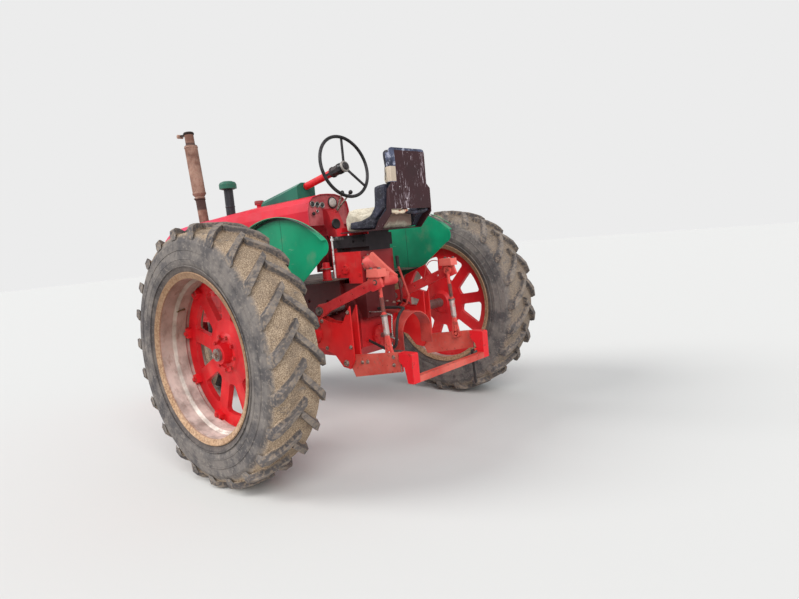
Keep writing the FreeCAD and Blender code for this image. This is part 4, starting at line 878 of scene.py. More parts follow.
# --- Instrument panel ----------------------------------------------------------------
# A dished red panel closes the hood's rear end, grimy round its three gauges; it also
# holds an ammeter, a push switch and a round lamp with a milky lens.
panel_enamel = cast_enamel("panel_enamel", (204, 108, 110), (150, 58, 62), 0.7, 0.6, 0.42)
dress(panel_enamel, "instrument_panel")
dial_black = mottled("dial_black", 200, (22, 22, 24), (52, 50, 50), 0.45)
dial_ink = mottled("dial_ink", 300, (214, 210, 196), (170, 164, 148), 0.5)
chrome = mottled("dull_chrome", 70, (150, 146, 142), (196, 192, 188), 0.28, 4, metal=0.9,
                 haze=0.25)
backwards = (-1, 0, 0)
bezels, faces, marks = [], [], []
for y, z, radius, out, needle in ((150, 1676, 21, 5, 65), (104, 1672, 21, 5, 200),
                                  (58, 1668, 21, 5, 20), (112, 1624, 11, 8, None)):
    middle = spot(200 - out, y, z)
    bezels.append(spun([(radius - 3.5, -1), (radius + 1.2, -1), (radius + 1.4, 2),
                        (radius - 1, 4.2), (radius - 3.5, 2.5)], middle, backwards, 36))
    faces.append(spun([(radius - 3, 0.6), (0, 0.8)], middle, backwards, 36))
    if needle is None:
        continue
    strokes = [(turn, 1.2, radius - 7.2, radius - 4.5, 0.5) for turn in range(-120, 121, 30)]
    for turn, raised, inner, outer, thick in strokes + [(needle, 1.6, 0, radius - 8, 0.6)]:
        turn = math.radians(turn)
        ends = [(200 - out - raised, y + reach * math.sin(turn), z + reach * math.cos(turn))
                for reach in (inner, outer)]
        marks.append(bar(route(*ends), thick, sides=1))
settle("gauge_bezels", bezels, chrome)
settle("gauge_faces", faces, dial_black)
settle("gauge_marks", marks, dial_ink, smooth=False)
coat = Finish("lamp_lens")
tone = coat.tint(coat.patches(50, 4), (216, 206, 198), (168, 150, 142))
milk = coat.wear(tone, 0.22, (coat.patches(30, 2) * 30).waves(), 0.0004, 0.3)
lamp = spot(188, -40, 1684)
lens = spun([(36.5, 0), (34, 6), (26, 11), (12, 14), (0, 14.5)], lamp, backwards, 40)
settle("lamp_lens", lens, milk)
hoop = spun([(35.5, -4), (42.5, -4), (42.5, 3), (39, 6), (35.5, 3)], lamp, backwards, 40)
knob = spun([(0, 0), (6, 0), (6, 10), (13, 13), (13, 20), (9, 23), (0, 23)],
            spot(195, 158, 1606), backwards, 24)
settle("panel_trim", [hoop, knob], cap_black)


# --- Control pedestal and levers -------------------------------------------------------
# A folded red tower below the panel, with an oily round opening, a wiring grommet and
# two bare hand levers that end in black balls.
pedestal_coat = cast_enamel("pedestal_coat", (196, 40, 46), (140, 28, 36), 0.6, 0.7, 0.4)
dress(pedestal_coat, "control_pedestal")
opening = spun([(0, 0), (30, 0), (35.5, 4), (38.5, -1), (38.5, -10)], spot(85, 34, 1520),
               backwards, 40)
settle("pedestal_opening", opening, cap_black)
levers, balls = [], []
for foot, tip in (((160, -40, 1600), (156, -120, 1753)), ((150, -20, 1600), (48, -104, 1744))):
    way = (Vector(tip) - Vector(foot)).normalized()
    levers.append(bar(route(Vector(foot) + way * 25, Vector(tip) - way * 8), 6.6))
    balls.append(spun([(0, -16.5), (8, -15.2), (14.2, -9), (16.6, 0), (14.2, 9), (8, 15.2),
                       (0, 16.5)], spot(*tip), way, 24))
settle("hand_levers", levers, line_steel)
settle("lever_balls", balls, cap_black)


# A ribbed maroon sheet shields the platform from the engine; it hangs under the hood's rear
# end, behind the tower, with a rolled rim.
def ribbed(x, half, low, high, ribs, depth):
    """An upright sheet across the tractor with rounded upright ribs pressed into it."""
    mesh = bpy.data.meshes.new("ribbed")
    rib_steps, thick = 12, 3
    steps = ribs * rib_steps
    points, faces = [], []
    for index in range(steps + 1):
        y = -half + 2 * half * index / steps
        near = x - depth * max(0.0, math.sin(index * math.tau / rib_steps)) ** 0.7
        far = near + thick
        points += route((near, y, low), (near, y, high), (far, y, high), (far, y, low))
    for index in range(steps):
        a, b = index * 4, index * 4 + 4
        faces += [(a + k, a + (k + 1) % 4, b + (k + 1) % 4, b + k) for k in range(4)]
    faces += [(0, 3, 2, 1), tuple(range(steps * 4, steps * 4 + 4))]
    mesh.from_pydata(points, [], faces)
    return mesh


shield_paint = cast_enamel("shield_enamel", (132, 32, 38), (88, 20, 26), 0.9, 0.6, 0.48)
settle("engine_shield", ribbed(214, 150, 1176, 1436, 7, 5), shield_paint)
shield_rim = bar(route((214, -150, 1178), (214, -150, 1436), (214, 150, 1436),
                       (214, 150, 1178)), 4)
settle("engine_shield_rim", shield_rim, shield_paint)


# --- Steering column and wheel -----------------------------------------------------------
# A green pressed fairing hides the long shaft on the hood; the red column leans out of it
# to a worn black wheel with three spokes, a grey bezel and a dark centre cap.
fairing_green = sheet_paint("fairing_green", (20, 104, 82), (12, 72, 62), (90, 128, 112),
                            (34, 50, 46), 0.5)
dress(fairing_green, "shaft_fairing")
coat = Finish("column_enamel")
mottle = coat.patches(34, 7, rough=0.68)
red = coat.tint(coat.between(mottle, 0.3, 0.6), (184, 22, 30), (218, 36, 42))
far = coat.between(coat.axis("X") + mottle * 0.02, axle_x + 0.118, axle_x + 0.128)
column_paint = coat.wear(coat.tint(far, coat.tint(mottle, (22, 18, 20), (72, 58, 56)), red), 0.4,
                         mottle, 0.0005, 0.4)
dress(column_paint, "steering_column")
coat = Finish("wheel_black")
shine = coat.between(coat.patches(18, 4), 0.42, 0.7)
grip_black = coat.wear(coat.tint(shine * 0.8, (20, 19, 21), (58, 53, 56)), 0.34 + shine * 0.2,
                       coat.patches(160, 4), 0.0004, 0.35)
dress(grip_black, "steering_wheel")
lean_back = Vector((-500, 0, 98)).normalized()
column_foot = spot(424.4, 0, 1832)
column_length, hub_rise = 0.418, 0.0383
wheel_at = column_foot + lean_back * (column_length + hub_rise)
rise_way = lean_back.cross(Vector((0, 1, 0))) * -1
rim_ring = around(wheel_at - lean_back * 0.0005, 222, 120, (0, 1, 0), rise_way)
grips = row(rim_ring, 23.2, (12.4, 12.4, 5.4), grip_black, closed=True, sides=12)
cap = spun([(26.5, -2), (26.5, 14.5), (24, 19), (12, 21.5), (0, 22)], wheel_at, lean_back, 36)
settle("wheel_grip", [grips, cap], grip_black, "steering_wheel_body")
bezel_grey = mottled("bezel_grey", 60, (122, 116, 112), (164, 158, 152), 0.45, 4, 0.0004, 0.3, 0.3)
bezel = spun([(27.5, 0), (40.5, -3), (42, 2), (39, 8), (30, 12), (27.5, 11)], wheel_at,
             lean_back, 40)
settle("wheel_bezel", bezel, bezel_grey, "steering_wheel_body")
settle("column_collars", [
    spun([(36.5, -8), (39.5, -6), (39.5, 6), (36.5, 8)], column_foot + lean_back * reach,
         lean_back, 36) for reach in (0.330, 0.402)], column_paint)


# --- Deck and fenders --------------------------------------------------------------------
# A black treadplate deck between the wheels, a small red oil canister on it, and two
# green half-round fenders, each bolted to the deck edge and flanged over the tyre.
coat = Finish("deck_paint")
fine = coat.patches(80, 4)
tread_waves = 190
rising = ((coat.axis("X") + coat.axis("Y")) * tread_waves).waves()
falling = ((coat.axis("X") - coat.axis("Y")) * tread_waves).waves()
tread = coat.between(rising * falling, 0.35, 0.75)
plate = coat.tint(coat.between(coat.patches(9, 5), 0.4, 0.62), (38, 34, 34), (92, 80, 70))
plate = coat.tint(tread * 0.45, plate, (120, 108, 98))
dress(coat.wear(plate, 0.62, tread * 2 + fine * 0.3, 0.0012, 0.6, 0.2), "deck_plate")
can_enamel = cast_enamel("can_enamel", (212, 34, 40), (150, 20, 30), 0.6, 0.7, 0.36)
dress(can_enamel, "deck_canister")
can_top = spun([(40.5, -4), (42.5, 0), (40.5, 5)], spot(-60, 300, 1210), (0, 0, 1), 36)
settle("canister_ring", can_top, line_steel)


def fender_paint(name, light, dark):
    """Faded green enamel, painted near black under the flange for the shadow there, creased once
    with the crease line painted dark as shade, and rubbed along its rim."""
    coat = Finish(name)
    wide = coat.patches(2.4, 4)
    middle = coat.patches(15, 5)
    fine = coat.patches(200, 3)
    paint = coat.tint(coat.between(wide, 0.34, 0.66), dark, light)
    film = coat.between(coat.patches(7, 5) + middle * 0.3, 0.66, 0.92)
    paint = coat.tint(film * 0.3, paint, (120, 128, 104))
    low = 1 - coat.between(coat.axis("Z") + wide * 0.08, 1.10, 1.26)
    paint = coat.tint(low * 0.5, paint, (52, 66, 54))
    out = coat.radius(axle_x, rear_radius)
    # Painted shadow: a near-black band on the panel just under the flange.
    under = coat.between(out, 0.771, 0.777) * (1 - coat.between(out, 0.7925, 0.7938))
    under = under * coat.between(abs(coat.axis("Y")), 0.6135, 0.6145)
    paint = coat.tint(under * 0.9, paint, (14, 20, 19))
    # The crease is a real dent in the relief; its darker line is painted shade.
    fold = 1 - coat.between(abs(coat.axis("X") - (axle_x - 0.015)), 0.0012, 0.0035)
    fold = fold * (1 - coat.between(out, 0.77, 0.775))
    paint = coat.tint(fold * 0.8, paint, (10, 62, 48))
    crest = coat.between(out, 0.7925, 0.7945) * coat.between(middle, 0.36, 0.6)
    paint = coat.tint(crest * 0.6, paint, (132, 130, 112))
    scratch = coat.between(coat.patches(40, 4, coat.stretched(0.2, 1, 1)), 0.66, 0.72)
    paint = coat.tint(scratch * 0.25, paint, (150, 176, 152))
    relief = wide * 4 + fine * 0.1 + middle * 0.3 - fold * 2
    return coat.wear(paint, 0.36 + film * 0.3 + low * 0.2, relief, 0.0022, 0.4)


fender_green = fender_paint("fender_green", (8, 150, 106), (4, 122, 86))
dress(fender_green, "fender_left", "fender_right")
settle("fender_bolts", side_studs([(-120, 616.2, 1165), (80, 616.2, 1105), (300, 616.2, 1090),
                                   (520, 616.2, 1080)], worn_bolt, 9, 6), worn_bolt, smooth=False)
bead_radius, bead_steps, bead_start, bead_end = 793, 60, 27, 124
bead_turns = [math.radians(bead_start + step * (bead_end - bead_start) / bead_steps)
              for step in range(bead_steps + 1)]
settle("fender_beads", [
    bar(route(*((bead_radius * math.cos(t), way * 655, axle_z + bead_radius * math.sin(t))
                for t in bead_turns)), 3.2, sides=3) for way in (1, -1)],
       fender_green)


# --- Seat base and suspension -------------------------------------------------------------
# The red pressed housing carries a black spring box; two greasy channel rails slide in it,
# with a red latch, a stay rod coloured white, and two coil springs in a pleated rubber boot.
# The base's rear face is painted darker, as shade.
base_enamel = sheet_paint("base_enamel", (226, 42, 42), (196, 28, 34), (206, 112, 96),
                          (112, 40, 38), 0.45, 0.36, axle_x - 0.266)
dress(base_enamel, "seat_pedestal")
coat = Finish("suspension_black")
across_it, up_it, ahead_it = coat.axis("Y"), coat.axis("Z"), coat.axis("X")
mottle = coat.patches(26, 5)
fine = coat.patches(140, 4)
# Painted highlight: the rails' tops are lightened to grey.
rail_highlight = coat.between(up_it, 1.395, 1.400) * coat.between(mottle, 0.42, 0.66)
rail_highlight = rail_highlight * coat.between(ahead_it, axle_x - 0.09, axle_x - 0.07)
dark = coat.tint(mottle, (18, 14, 18), (48, 38, 42))
dark = coat.tint(rail_highlight * 0.6, dark, (132, 128, 126))
latch = coat.between(across_it, 0.0985, 0.0995) * coat.between(up_it, 1.424, 1.4256)
dark = coat.tint(latch, dark, coat.tint(fine, (222, 26, 40), (182, 18, 30)))
stay = 1 - coat.between(ahead_it, axle_x + 0.012, axle_x + 0.014)
stay = coat.between(across_it, 0.1615, 0.1625) * stay
white = coat.tint(coat.between(mottle, 0.36, 0.5), (98, 92, 90), (226, 224, 222))
black_steel = coat.wear(coat.tint(stay, dark, white), 0.5, fine, 0.0005, 0.45, 0.25)
dress(black_steel, "seat_suspension")


def coil(start, end, radius, wire, turns):
    """A compression spring between two points."""
    axis = end - start
    side = axis.orthogonal().normalized()
    circle = around(Vector(), radius, 16, side, axis.normalized().cross(side))
    steps = turns * 16
    return bar([start + axis * (step / steps) + circle[step % 16] for step in range(steps + 1)],
               wire, sides=2)


settle("seat_springs", [coil(spot(-100, y, 1378), spot(4, y, 1378), 19, 3.6, 11)
                        for y in (60, -60)], line_steel)
pleats = []
for index in range(9):
    grow, z = index % 2 * 3, 1316 + index * 7
    back, front, out = -106 - grow, 28 + grow, 96 + grow
    pleats.append(bar(route((back, -out, z), (front, -out, z), (front, out, z), (back, out, z)),
                      4.8, closed=True))
settle("seat_boot", pleats, black_rubber)
base_bolts = side_studs([(-240, 160, 1150), (-30, 160, 1150)], base_enamel, 8.5, 6)
base_bolts.append(bolts(spot(-100, 168, 1190), (0, 1, 0), base_enamel, 4.5, 4, 4, 25))
settle("seat_base_bolts", base_bolts, base_enamel, smooth=False)
settle("seat_rail_bolts", side_studs([(-270, 132, 1383), (-170, 132, 1383)], black_steel, 7.5, 6),
       black_steel, smooth=False)


# --- Seat shell ---------------------------------------------------------------------------
# A pressed steel back and pan, painted dark brown long ago; years of use have scored it
# with pale upright scratches, and rust has started along its edges.
shell = Finish("seat_shell_brown")


def cloud(y, z, reach):
    """A soft patch on the seat's back around one place."""
    squat = 0.55
    flat = shell.stretched(0, 1, squat)
    away = shell.vector("DISTANCE", flat, (0, y, z * squat), "Value")
    return 1 - shell.between(away, reach * 0.3, reach)


wide = shell.patches(7, 4)
fine = shell.patches(130, 4)
brown = shell.tint(wide, (38, 18, 22), (66, 33, 38))
broad = shell.patches(1.0, 5, shell.stretched(120, 120, 11), 0.6)
thin = shell.patches(1.0, 4, shell.stretched(230, 230, 20), 0.6)
breaks = shell.patches(30, 5, rough=0.65)
busy = cloud(-0.11, 1.84, 0.13) + cloud(0.10, 1.66, 0.12) + cloud(0.02, 1.63, 0.08)
busy = (busy + cloud(0.02, 1.90, 0.07) * 0.7) * 0.085 + wide * 0.04
score = shell.between(broad + busy, 0.68, 0.725) * shell.between(breaks, 0.40, 0.50)
hair = shell.between(thin + busy * 0.8, 0.70, 0.75)
hair = hair * shell.between(breaks + wide * 0.2, 0.52, 0.62)
brown = shell.tint(score * 0.8, brown, (192, 176, 184))
brown = shell.tint(hair * 0.5, brown, (150, 130, 138))
chips = 1 - shell.between(shell.specks(30) + fine * 0.35 - busy, 0.15, 0.21)
brown = shell.tint(chips * shell.between(breaks, 0.45, 0.55) * 0.9, brown, (210, 200, 202))
edge_rust = shell.edges(0.005) * shell.between(fine, 0.42, 0.6)
brown = shell.tint(edge_rust * 0.5, brown, (112, 78, 72))

# Vinyl is folded over the shell's top, its left edge and its arms' ends.
high = shell.axis("Z")
above_arms = shell.between(high, 1.734, 1.738)
folded = shell.between(shell.axis("Y") + broad * 0.012, 0.130, 0.133) * above_arms
rolled = shell.between(high + broad * 0.014, 1.941, 1.944)
flank = shell.between(shell.axis("X"), axle_x - 0.6165, axle_x - 0.6145) * above_arms
flank = shell.between(abs(shell.axis("Y")), 0.164, 0.167) * flank
skin = shell.tint(shell.between(wide, 0.4, 0.6), (40, 44, 62), (84, 90, 114))
skin = shell.tint(shell.between(breaks + fine * 0.3, 0.66, 0.78) * 0.8, skin, (178, 180, 196))
cream_band = shell.between(high, 1.738, 1.741) * (1 - shell.between(high, 1.832, 1.835))
skin = shell.tint(cream_band, skin, shell.tint(wide, (208, 192, 172), (180, 162, 144)))
shell_brown = shell.wear(shell.tint(folded.most(rolled).most(flank), brown, skin),
                         0.42 + wide * 0.2, score * -1 + fine * 0.4 + wide, 0.0006, 0.5, 0.1)
dress(shell_brown, "seat_shell")
half_lip = ((205, 1566), (205, 1695), (172, 1725), (172, 1925), (165, 1943), (147, 1948))
lip = route(*((-618, -y, z) for y, z in half_lip), *((-618, y, z) for y, z in half_lip[::-1]))
settle("shell_lip", bar(lip, 4, sides=3), shell_brown)


# --- Seat cushion, bolsters and back -------------------------------------------------------
# Foam pads in sewn vinyl: cream panels, black side bolsters rubbed to blue-grey, a split
# under the back where the orange foam shows, and piping along the seams.
def vinyl(name, base, worn, crease, soil):
    """Grained cloth with creases and stains, still to be finished by what varies on it."""
    cloth = Finish(name)
    wide = cloth.patches(9, 4)
    creases = cloth.patches(24, 5, cloth.stretched(1, 2.2, 1))
    colour = cloth.tint(cloth.between(wide, 0.4, 0.7), base, worn)
    line = 1 - cloth.between(abs(creases - 0.5), 0.004, 0.02)
    colour = cloth.tint(line * 0.6, colour, crease)
    stain = cloth.between(cloth.patches(15, 5), 0.6, 0.78)
    return cloth, cloth.tint(stain * 0.5, colour, soil), cloth.specks(420) * 0.5 - line, wide


cloth, colour, relief, wide = vinyl("cream_vinyl", (212, 202, 182), (190, 178, 158),
                                    (142, 128, 108), (152, 134, 110))
tail = 1 - cloth.between(cloth.axis("X"), axle_x - 0.492, axle_x - 0.474)
colour = cloth.tint(tail * 0.9, colour, cloth.tint(wide, (104, 76, 70), (150, 120, 110)))
cream_vinyl = cloth.wear(colour, 0.5 + wide * 0.2, relief, 0.0012, 0.45)
cloth, colour, relief, wide = vinyl("black_vinyl", (30, 29, 38), (56, 56, 72), (96, 96, 110),
                                    (74, 70, 74))
scuffs = cloth.between(cloth.patches(60, 5, cloth.stretched(1, 1, 0.4)), 0.64, 0.72)
black_vinyl = cloth.wear(cloth.tint(scuffs * 0.5, colour, (150, 150, 160)), 0.4 + wide * 0.22,
                         relief, 0.0012, 0.5)
cloth, colour, relief, wide = vinyl("back_vinyl", (30, 29, 38), (58, 58, 74), (96, 96, 110),
                                    (74, 70, 74))
high = cloth.axis("Z")
band = cloth.between(high, 1.738, 1.741) * (1 - cloth.between(high, 1.832, 1.835))
panel = cloth.between(cloth.axis("X"), axle_x - 0.566, axle_x - 0.560)
panel = panel * (1 - cloth.between(abs(cloth.axis("Y")), 0.118, 0.121))
scuffs = cloth.between(cloth.patches(60, 5, cloth.stretched(1, 1, 0.4)), 0.6, 0.7)
colour = cloth.tint(scuffs * 0.55, colour, (160, 158, 166))
colour = cloth.tint(band.most(panel), colour, cloth.tint(wide, (208, 194, 172), (180, 164, 142)))
split = 1 - cloth.between(high, 1.600, 1.612)
split = split * (1 - cloth.between(cloth.axis("X"), axle_x - 0.57, axle_x - 0.55))
foam = cloth.tint(cloth.between(cloth.patches(26, 5), 0.42, 0.56), (222, 206, 170), (196, 98, 58))
colour = cloth.tint(split * cloth.between(cloth.axis("Y"), 0.01, 0.05), colour, foam)
back_vinyl = cloth.wear(colour, 0.46 + wide * 0.2, relief, 0.0012, 0.5)


def clean_copy(node):
    """A node's mesh with its corners joined, ready to be worked on."""
    loose = bmesh.new()
    loose.from_mesh(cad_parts[node].data)
    bmesh.ops.remove_doubles(loose, verts=loose.verts, dist=1e-5)
    bmesh.ops.recalc_face_normals(loose, faces=loose.faces)
    mesh = bpy.data.meshes.new(node + "_copy")
    loose.to_mesh(mesh)
    loose.free()
    mesh.materials.clear()
    return mesh


def baked(holder):
    """The holder's mesh as its modifiers leave it."""
    holder_mesh = final_mesh(holder)
    holder.modifiers.clear()
    holder.data = holder_mesh
    return holder_mesh


def plump(name, node, inset, cap, limits, soften=10):
    """A stuffed pad in a node's place: rounded, blown up a little, held inside its limits."""
    holder = place(name, clean_copy(node))
    remesh = holder.modifiers.new("remesh", "REMESH")
    remesh.mode = "VOXEL"
    remesh.voxel_size = 0.0055
    round_off = holder.modifiers.new("round", "SMOOTH")
    round_off.factor = 0.5
    round_off.iterations = soften
    mesh = baked(holder)
    for vertex, way in [(vertex, vertex.normal.copy()) for vertex in mesh.vertices]:
        vertex.co -= way * inset
    start = [vertex.co.copy() for vertex in mesh.vertices]
    last_frame = 20
    cloth = holder.modifiers.new("cloth", "CLOTH")
    cloth.settings.quality = 5
    cloth.settings.use_pressure = True
    cloth.settings.uniform_pressure_force = 4
    cloth.settings.effector_weights.gravity = 0
    cloth.settings.tension_stiffness = 12
    cloth.settings.compression_stiffness = 12
    cloth.settings.bending_stiffness = 0.4
    cloth.point_cache.frame_start = 1
    cloth.point_cache.frame_end = last_frame
    for step in range(1, last_frame + 1):
        bpy.context.scene.frame_set(step)
    mesh = baked(holder)
    bpy.context.scene.frame_set(1)
    low, high = limits
    for vertex, rest in zip(mesh.vertices, start):
        moved = vertex.co - rest
        if moved.length > cap:
            vertex.co = rest + moved * (cap / moved.length)
        vertex.co = Vector([min(max(c, a), b) for c, a, b in zip(vertex.co, low, high)])
    finer = holder.modifiers.new("finer", "SUBSURF")
    finer.levels = finer.render_levels = 1
    mesh = baked(holder)
    bpy.data.objects.remove(holder)
    mesh.name = name
    return mesh


def along(y, *places):
    """Points at (x, z) places in millimetres that all lie at one y."""
    return [spot(x, y, z) for x, z in places]


def laid_on(mesh, points, sink=0.0015, step=0.008):
    """A line of close points over a pad, near the points given and sunk into its surface."""
    loose = bmesh.new()
    loose.from_mesh(mesh)
    tree = BVHTree.FromBMesh(loose)
    laid = []
    for a, b in zip(points, points[1:]):
        pieces = max(2, int((b - a).length / step))
        for index in range(pieces):
            near, way, _, _ = tree.find_nearest(a + (b - a) * (index / pieces))
            laid.append(near - way * sink)
    loose.free()
    between = [(a + b * 2 + c) / 4 for a, b, c in zip(laid, laid[1:], laid[2:])]
    return [laid[0]] + between + [laid[-1]]


def stitches(mesh, points, material):
    """A row of stitches along a pad."""
    return row(laid_on(mesh, points, 0.0002), 6.8, (0.8, 0.8, 2.4), material, sides=6)


thread = mottled("seat_thread", 300, (150, 140, 116), (92, 84, 70), 0.7)
black_thread = mottled("black_thread", 300, (40, 40, 48), (78, 78, 88), 0.7)

cushion = plump("seat_pad", "seat_cushion", 0.004, 0.022,
                route((-500, -149.6, 1448.8), (-124, 149.6, 1599)))
pad = settle("seat_pad", cushion, cream_vinyl)
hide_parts("seat_cushion")
beads = [bar(laid_on(cushion, along(way * 141, (-494, 1462), (-495, 1540), (-456, 1582),
                                    (-300, 1581), (-168, 1590), (-134, 1530), (-135, 1462))),
             4.2, sides=3) for way in (1, -1)]
beads += [bar(laid_on(cushion, route((x, -132, 1590), (x, 132, 1590)), 0.0012), 2.2, sides=3)
          for x in (-395, -250)]
settle("seat_piping", beads, cream_vinyl)
settle("seat_stitches", [
    stitches(cushion, along(way * 128, (-456, 1582), (-300, 1581), (-168, 1590), (-134, 1530)),
             thread) for way in (1, -1)], thread)

for side, way in sides:
    edges_y = sorted((way * 150.4, way * 205.6))
    bolster = plump("side_pad_" + side, "seat_bolster_" + side, 0.003, 0.016,
                    route((-596, edges_y[0], 1448.8), (-224, edges_y[1], 1738)), 8)
    pad = settle("side_pad_" + side, bolster, black_vinyl)
    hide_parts("seat_bolster_" + side)
    seam = along(way * 200, (-236, 1456), (-238, 1494), (-340, 1508), (-425, 1540), (-470, 1594),
                 (-500, 1718), (-586, 1724))
    inner = along(way * 205, (-246, 1482), (-340, 1496), (-420, 1526), (-460, 1586), (-494, 1706))
    settle("side_piping_" + side, bar(laid_on(bolster, seam), 3.6, sides=3), black_vinyl)
    settle("side_stitches_" + side, stitches(bolster, inner, black_thread), black_thread)

backrest = plump("back_pad", "seat_backrest", 0.003, 0.022,
                 route((-613.4, -166.4, 1584), (-512, 166.4, 1956)))
pad = settle("back_pad", backrest, back_vinyl)
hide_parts("seat_backrest")
seam = route((-545, -158, 1745), (-556, -158, 1925), (-565, -140, 1945), (-565, 140, 1945),
             (-556, 158, 1925), (-545, 158, 1745))
beads = [bar(laid_on(backrest, seam), 4, sides=3)]
beads += [bar(laid_on(backrest, along(y, (-530, 1600), (-535, 1740), (-552, 1930))), 2.4, sides=3)
          for y in (-119, 119)]
settle("back_piping", beads, black_vinyl)


def torn(points, radius, seed):
    """A ragged roll of foam or loose vinyl along points, the same on each run."""
    noise.seed_set(seed)
    mesh = bar(points, radius, curved=True, sides=6)
    lumps, reach = 42, 0.0055
    for vertex in mesh.vertices:
        vertex.co += noise.noise_vector(vertex.co * lumps + Vector((seed, 0, 0))) * reach
    return mesh


# Under the back the lining has split: foam shows on the left, vinyl sags on the right. Pleated
# black vinyl closes the corners between the cushion and the shell's arms; its black also stands as
# painted shade in those corners.
coat = Finish("bare_foam")
crumbs = coat.patches(160, 4)
tone = coat.tint(coat.between(coat.patches(26, 4), 0.44, 0.54),
                 coat.tint(crumbs, (238, 224, 202), (206, 188, 160)),
                 coat.tint(crumbs, (206, 112, 76), (164, 80, 56)))
bare_foam = coat.wear(tone, 0.9, crumbs, 0.001, 0.5)
roll = torn(route((-598, 190, 1557), (-600, 130, 1547), (-599, 80, 1545), (-596, 30, 1556)),
            14.5, 3)
settle("split_foam", roll, bare_foam)
sag = torn(route((-596, 60, 1557), (-598, 0, 1540), (-597, -90, 1538), (-594, -190, 1556)),
           13.5, 8)
settle("loose_vinyl", sag, black_vinyl)
settle("corner_pleats", [bar(along(way * y, (-480, 1459), (-520, 1512), (-580, 1572)), 6.6)
                         for way in (1, -1) for y in (158, 168, 178, 188, 197)],
       black_vinyl)


# --- Hydraulic dome and filter --------------------------------------------------------------
# A rounded cast chamber faded to salmon pink, ringed by small bolts, with a black spin-on
# filter hanging below it and a steel pressure line.
dome_enamel = cast_enamel("dome_enamel", (234, 112, 104), (212, 72, 70), 0.35, 0.6, 0.42)
dress(dome_enamel, "hydraulic_dome")
settle("dome_bolts", bolts(spot(-276, 105, 1225), (-1, 0, 0), worn_bolt, 5, 5, 8, 56.5),
       worn_bolt, smooth=False)
filter_black = mottled("filter_black", 30, (20, 18, 20), (54, 46, 44), 0.34, 5, 0.0005, 0.35,
                       haze=0.3)
dress(filter_black, "oil_filter")
flutes = row(around(spot(-318.3, 105, 1088), 48.2, 60), 10.1, (2.2, 2.2, 1.2), filter_black,
             closed=True, sides=8)
rim = spun([(48.2, -3), (50.2, -2), (50.2, 2), (48.2, 3)], spot(-318.3, 105, 1160), (0, 0, 1), 40)
settle("filter_trim", [flutes, rim], filter_black)


# --- Rear lift ----------------------------------------------------------------------------
# Two flat arms turn with a bare rockshaft; capped ends carry the lift rods, whose lower
# halves slide bright and greasy in their forks. Salmon pink where the sun has faded them.
lift_enamel = cast_enamel("lift_enamel", (222, 64, 64), (190, 34, 40), 0.35, 0.75, 0.42, None, 1.13)
dress(lift_enamel, "lift_arm_left", "lift_arm_right")


def bright_steel(name, dark, light, polish=0.3):
    """Bare steel, rubbed bright and stained with brown."""
    metal = Finish(name)
    mottle = metal.patches(38, 5)
    fine = metal.patches(220, 4, metal.stretched(1, 1, 0.2))
    stain = metal.between(metal.patches(16, 5), 0.56, 0.74)
    tone = metal.tint(stain * 0.6, metal.tint(mottle, dark, light), (92, 56, 42))
    return metal.wear(tone, polish + stain * 0.35 + mottle * 0.12, fine, 0.0004, 0.4, 0.75)


shaft_steel = bright_steel("shaft_steel", (104, 98, 94), (168, 162, 156))
dress(shaft_steel, "rockshaft", "pto_shaft", "axle_shaft_left", "axle_shaft_right")
coat = Finish("lift_rod_enamel")
mottle = coat.patches(30, 5)
fine = coat.patches(160, 4)
high = coat.axis("Z")
soil = coat.between(mottle + fine * 0.3, 0.68, 0.84)
red = coat.tint(soil * 0.8, coat.tint(mottle, (204, 52, 48), (226, 104, 92)), (66, 34, 28))
sleeve = coat.between(high, 0.776, 0.786) * (1 - coat.between(high, 0.905, 0.915))
bright = coat.tint(fine, (150, 132, 128), (220, 206, 200))
tone = coat.tint(sleeve * coat.between(mottle, 0.3, 0.5), red, bright)
dress(coat.wear(tone, 0.38 + soil * 0.3, fine, 0.0006, 0.45, sleeve * 0.6),
      "lift_rod_left", "lift_rod_right")
pin_steel = bright_steel("pin_steel", (92, 84, 80), (146, 138, 132), 0.36)
down = Vector((-35, 0, -456)).normalized()
for side, way in sides:
    pins = studs([(x, way * 380, 1203) for x in (-640, -570)], (0, 0, 1), pin_steel, 9.5, 8)
    pins.append(spun([(0, 0), (31, 0), (31, 6), (26, 9), (0, 9)], spot(-60, way * 403.2, 930),
                     (0, way, 0), 32))
    pins += side_studs([(-60, 412, 930)], pin_steel, 15, 11, (way,))
    settle("arm_fixings_" + side, pins, pin_steel, "lift_arms", smooth=False)
    rod_top = spot(-605, way * 353, 1120)
    trim = side_studs([(-605, 388.5, 1120)], pin_steel, 13.5, 3, (way,))
    trim.append(spun([(19.2, -6), (24.5, -4), (24.5, 4), (19.2, 6)], rod_top + down * 0.212,
                     down, 28))
    trim += [spun([(12.2, -1.6), (14.2, 0), (12.2, 1.6)], rod_top + down * (0.10 + 0.0042 * turn),
                  down, 16) for turn in range(22)]
    settle("rod_trim_" + side, trim, pin_steel, "lift_rod_body_" + side,
           smooth=False)


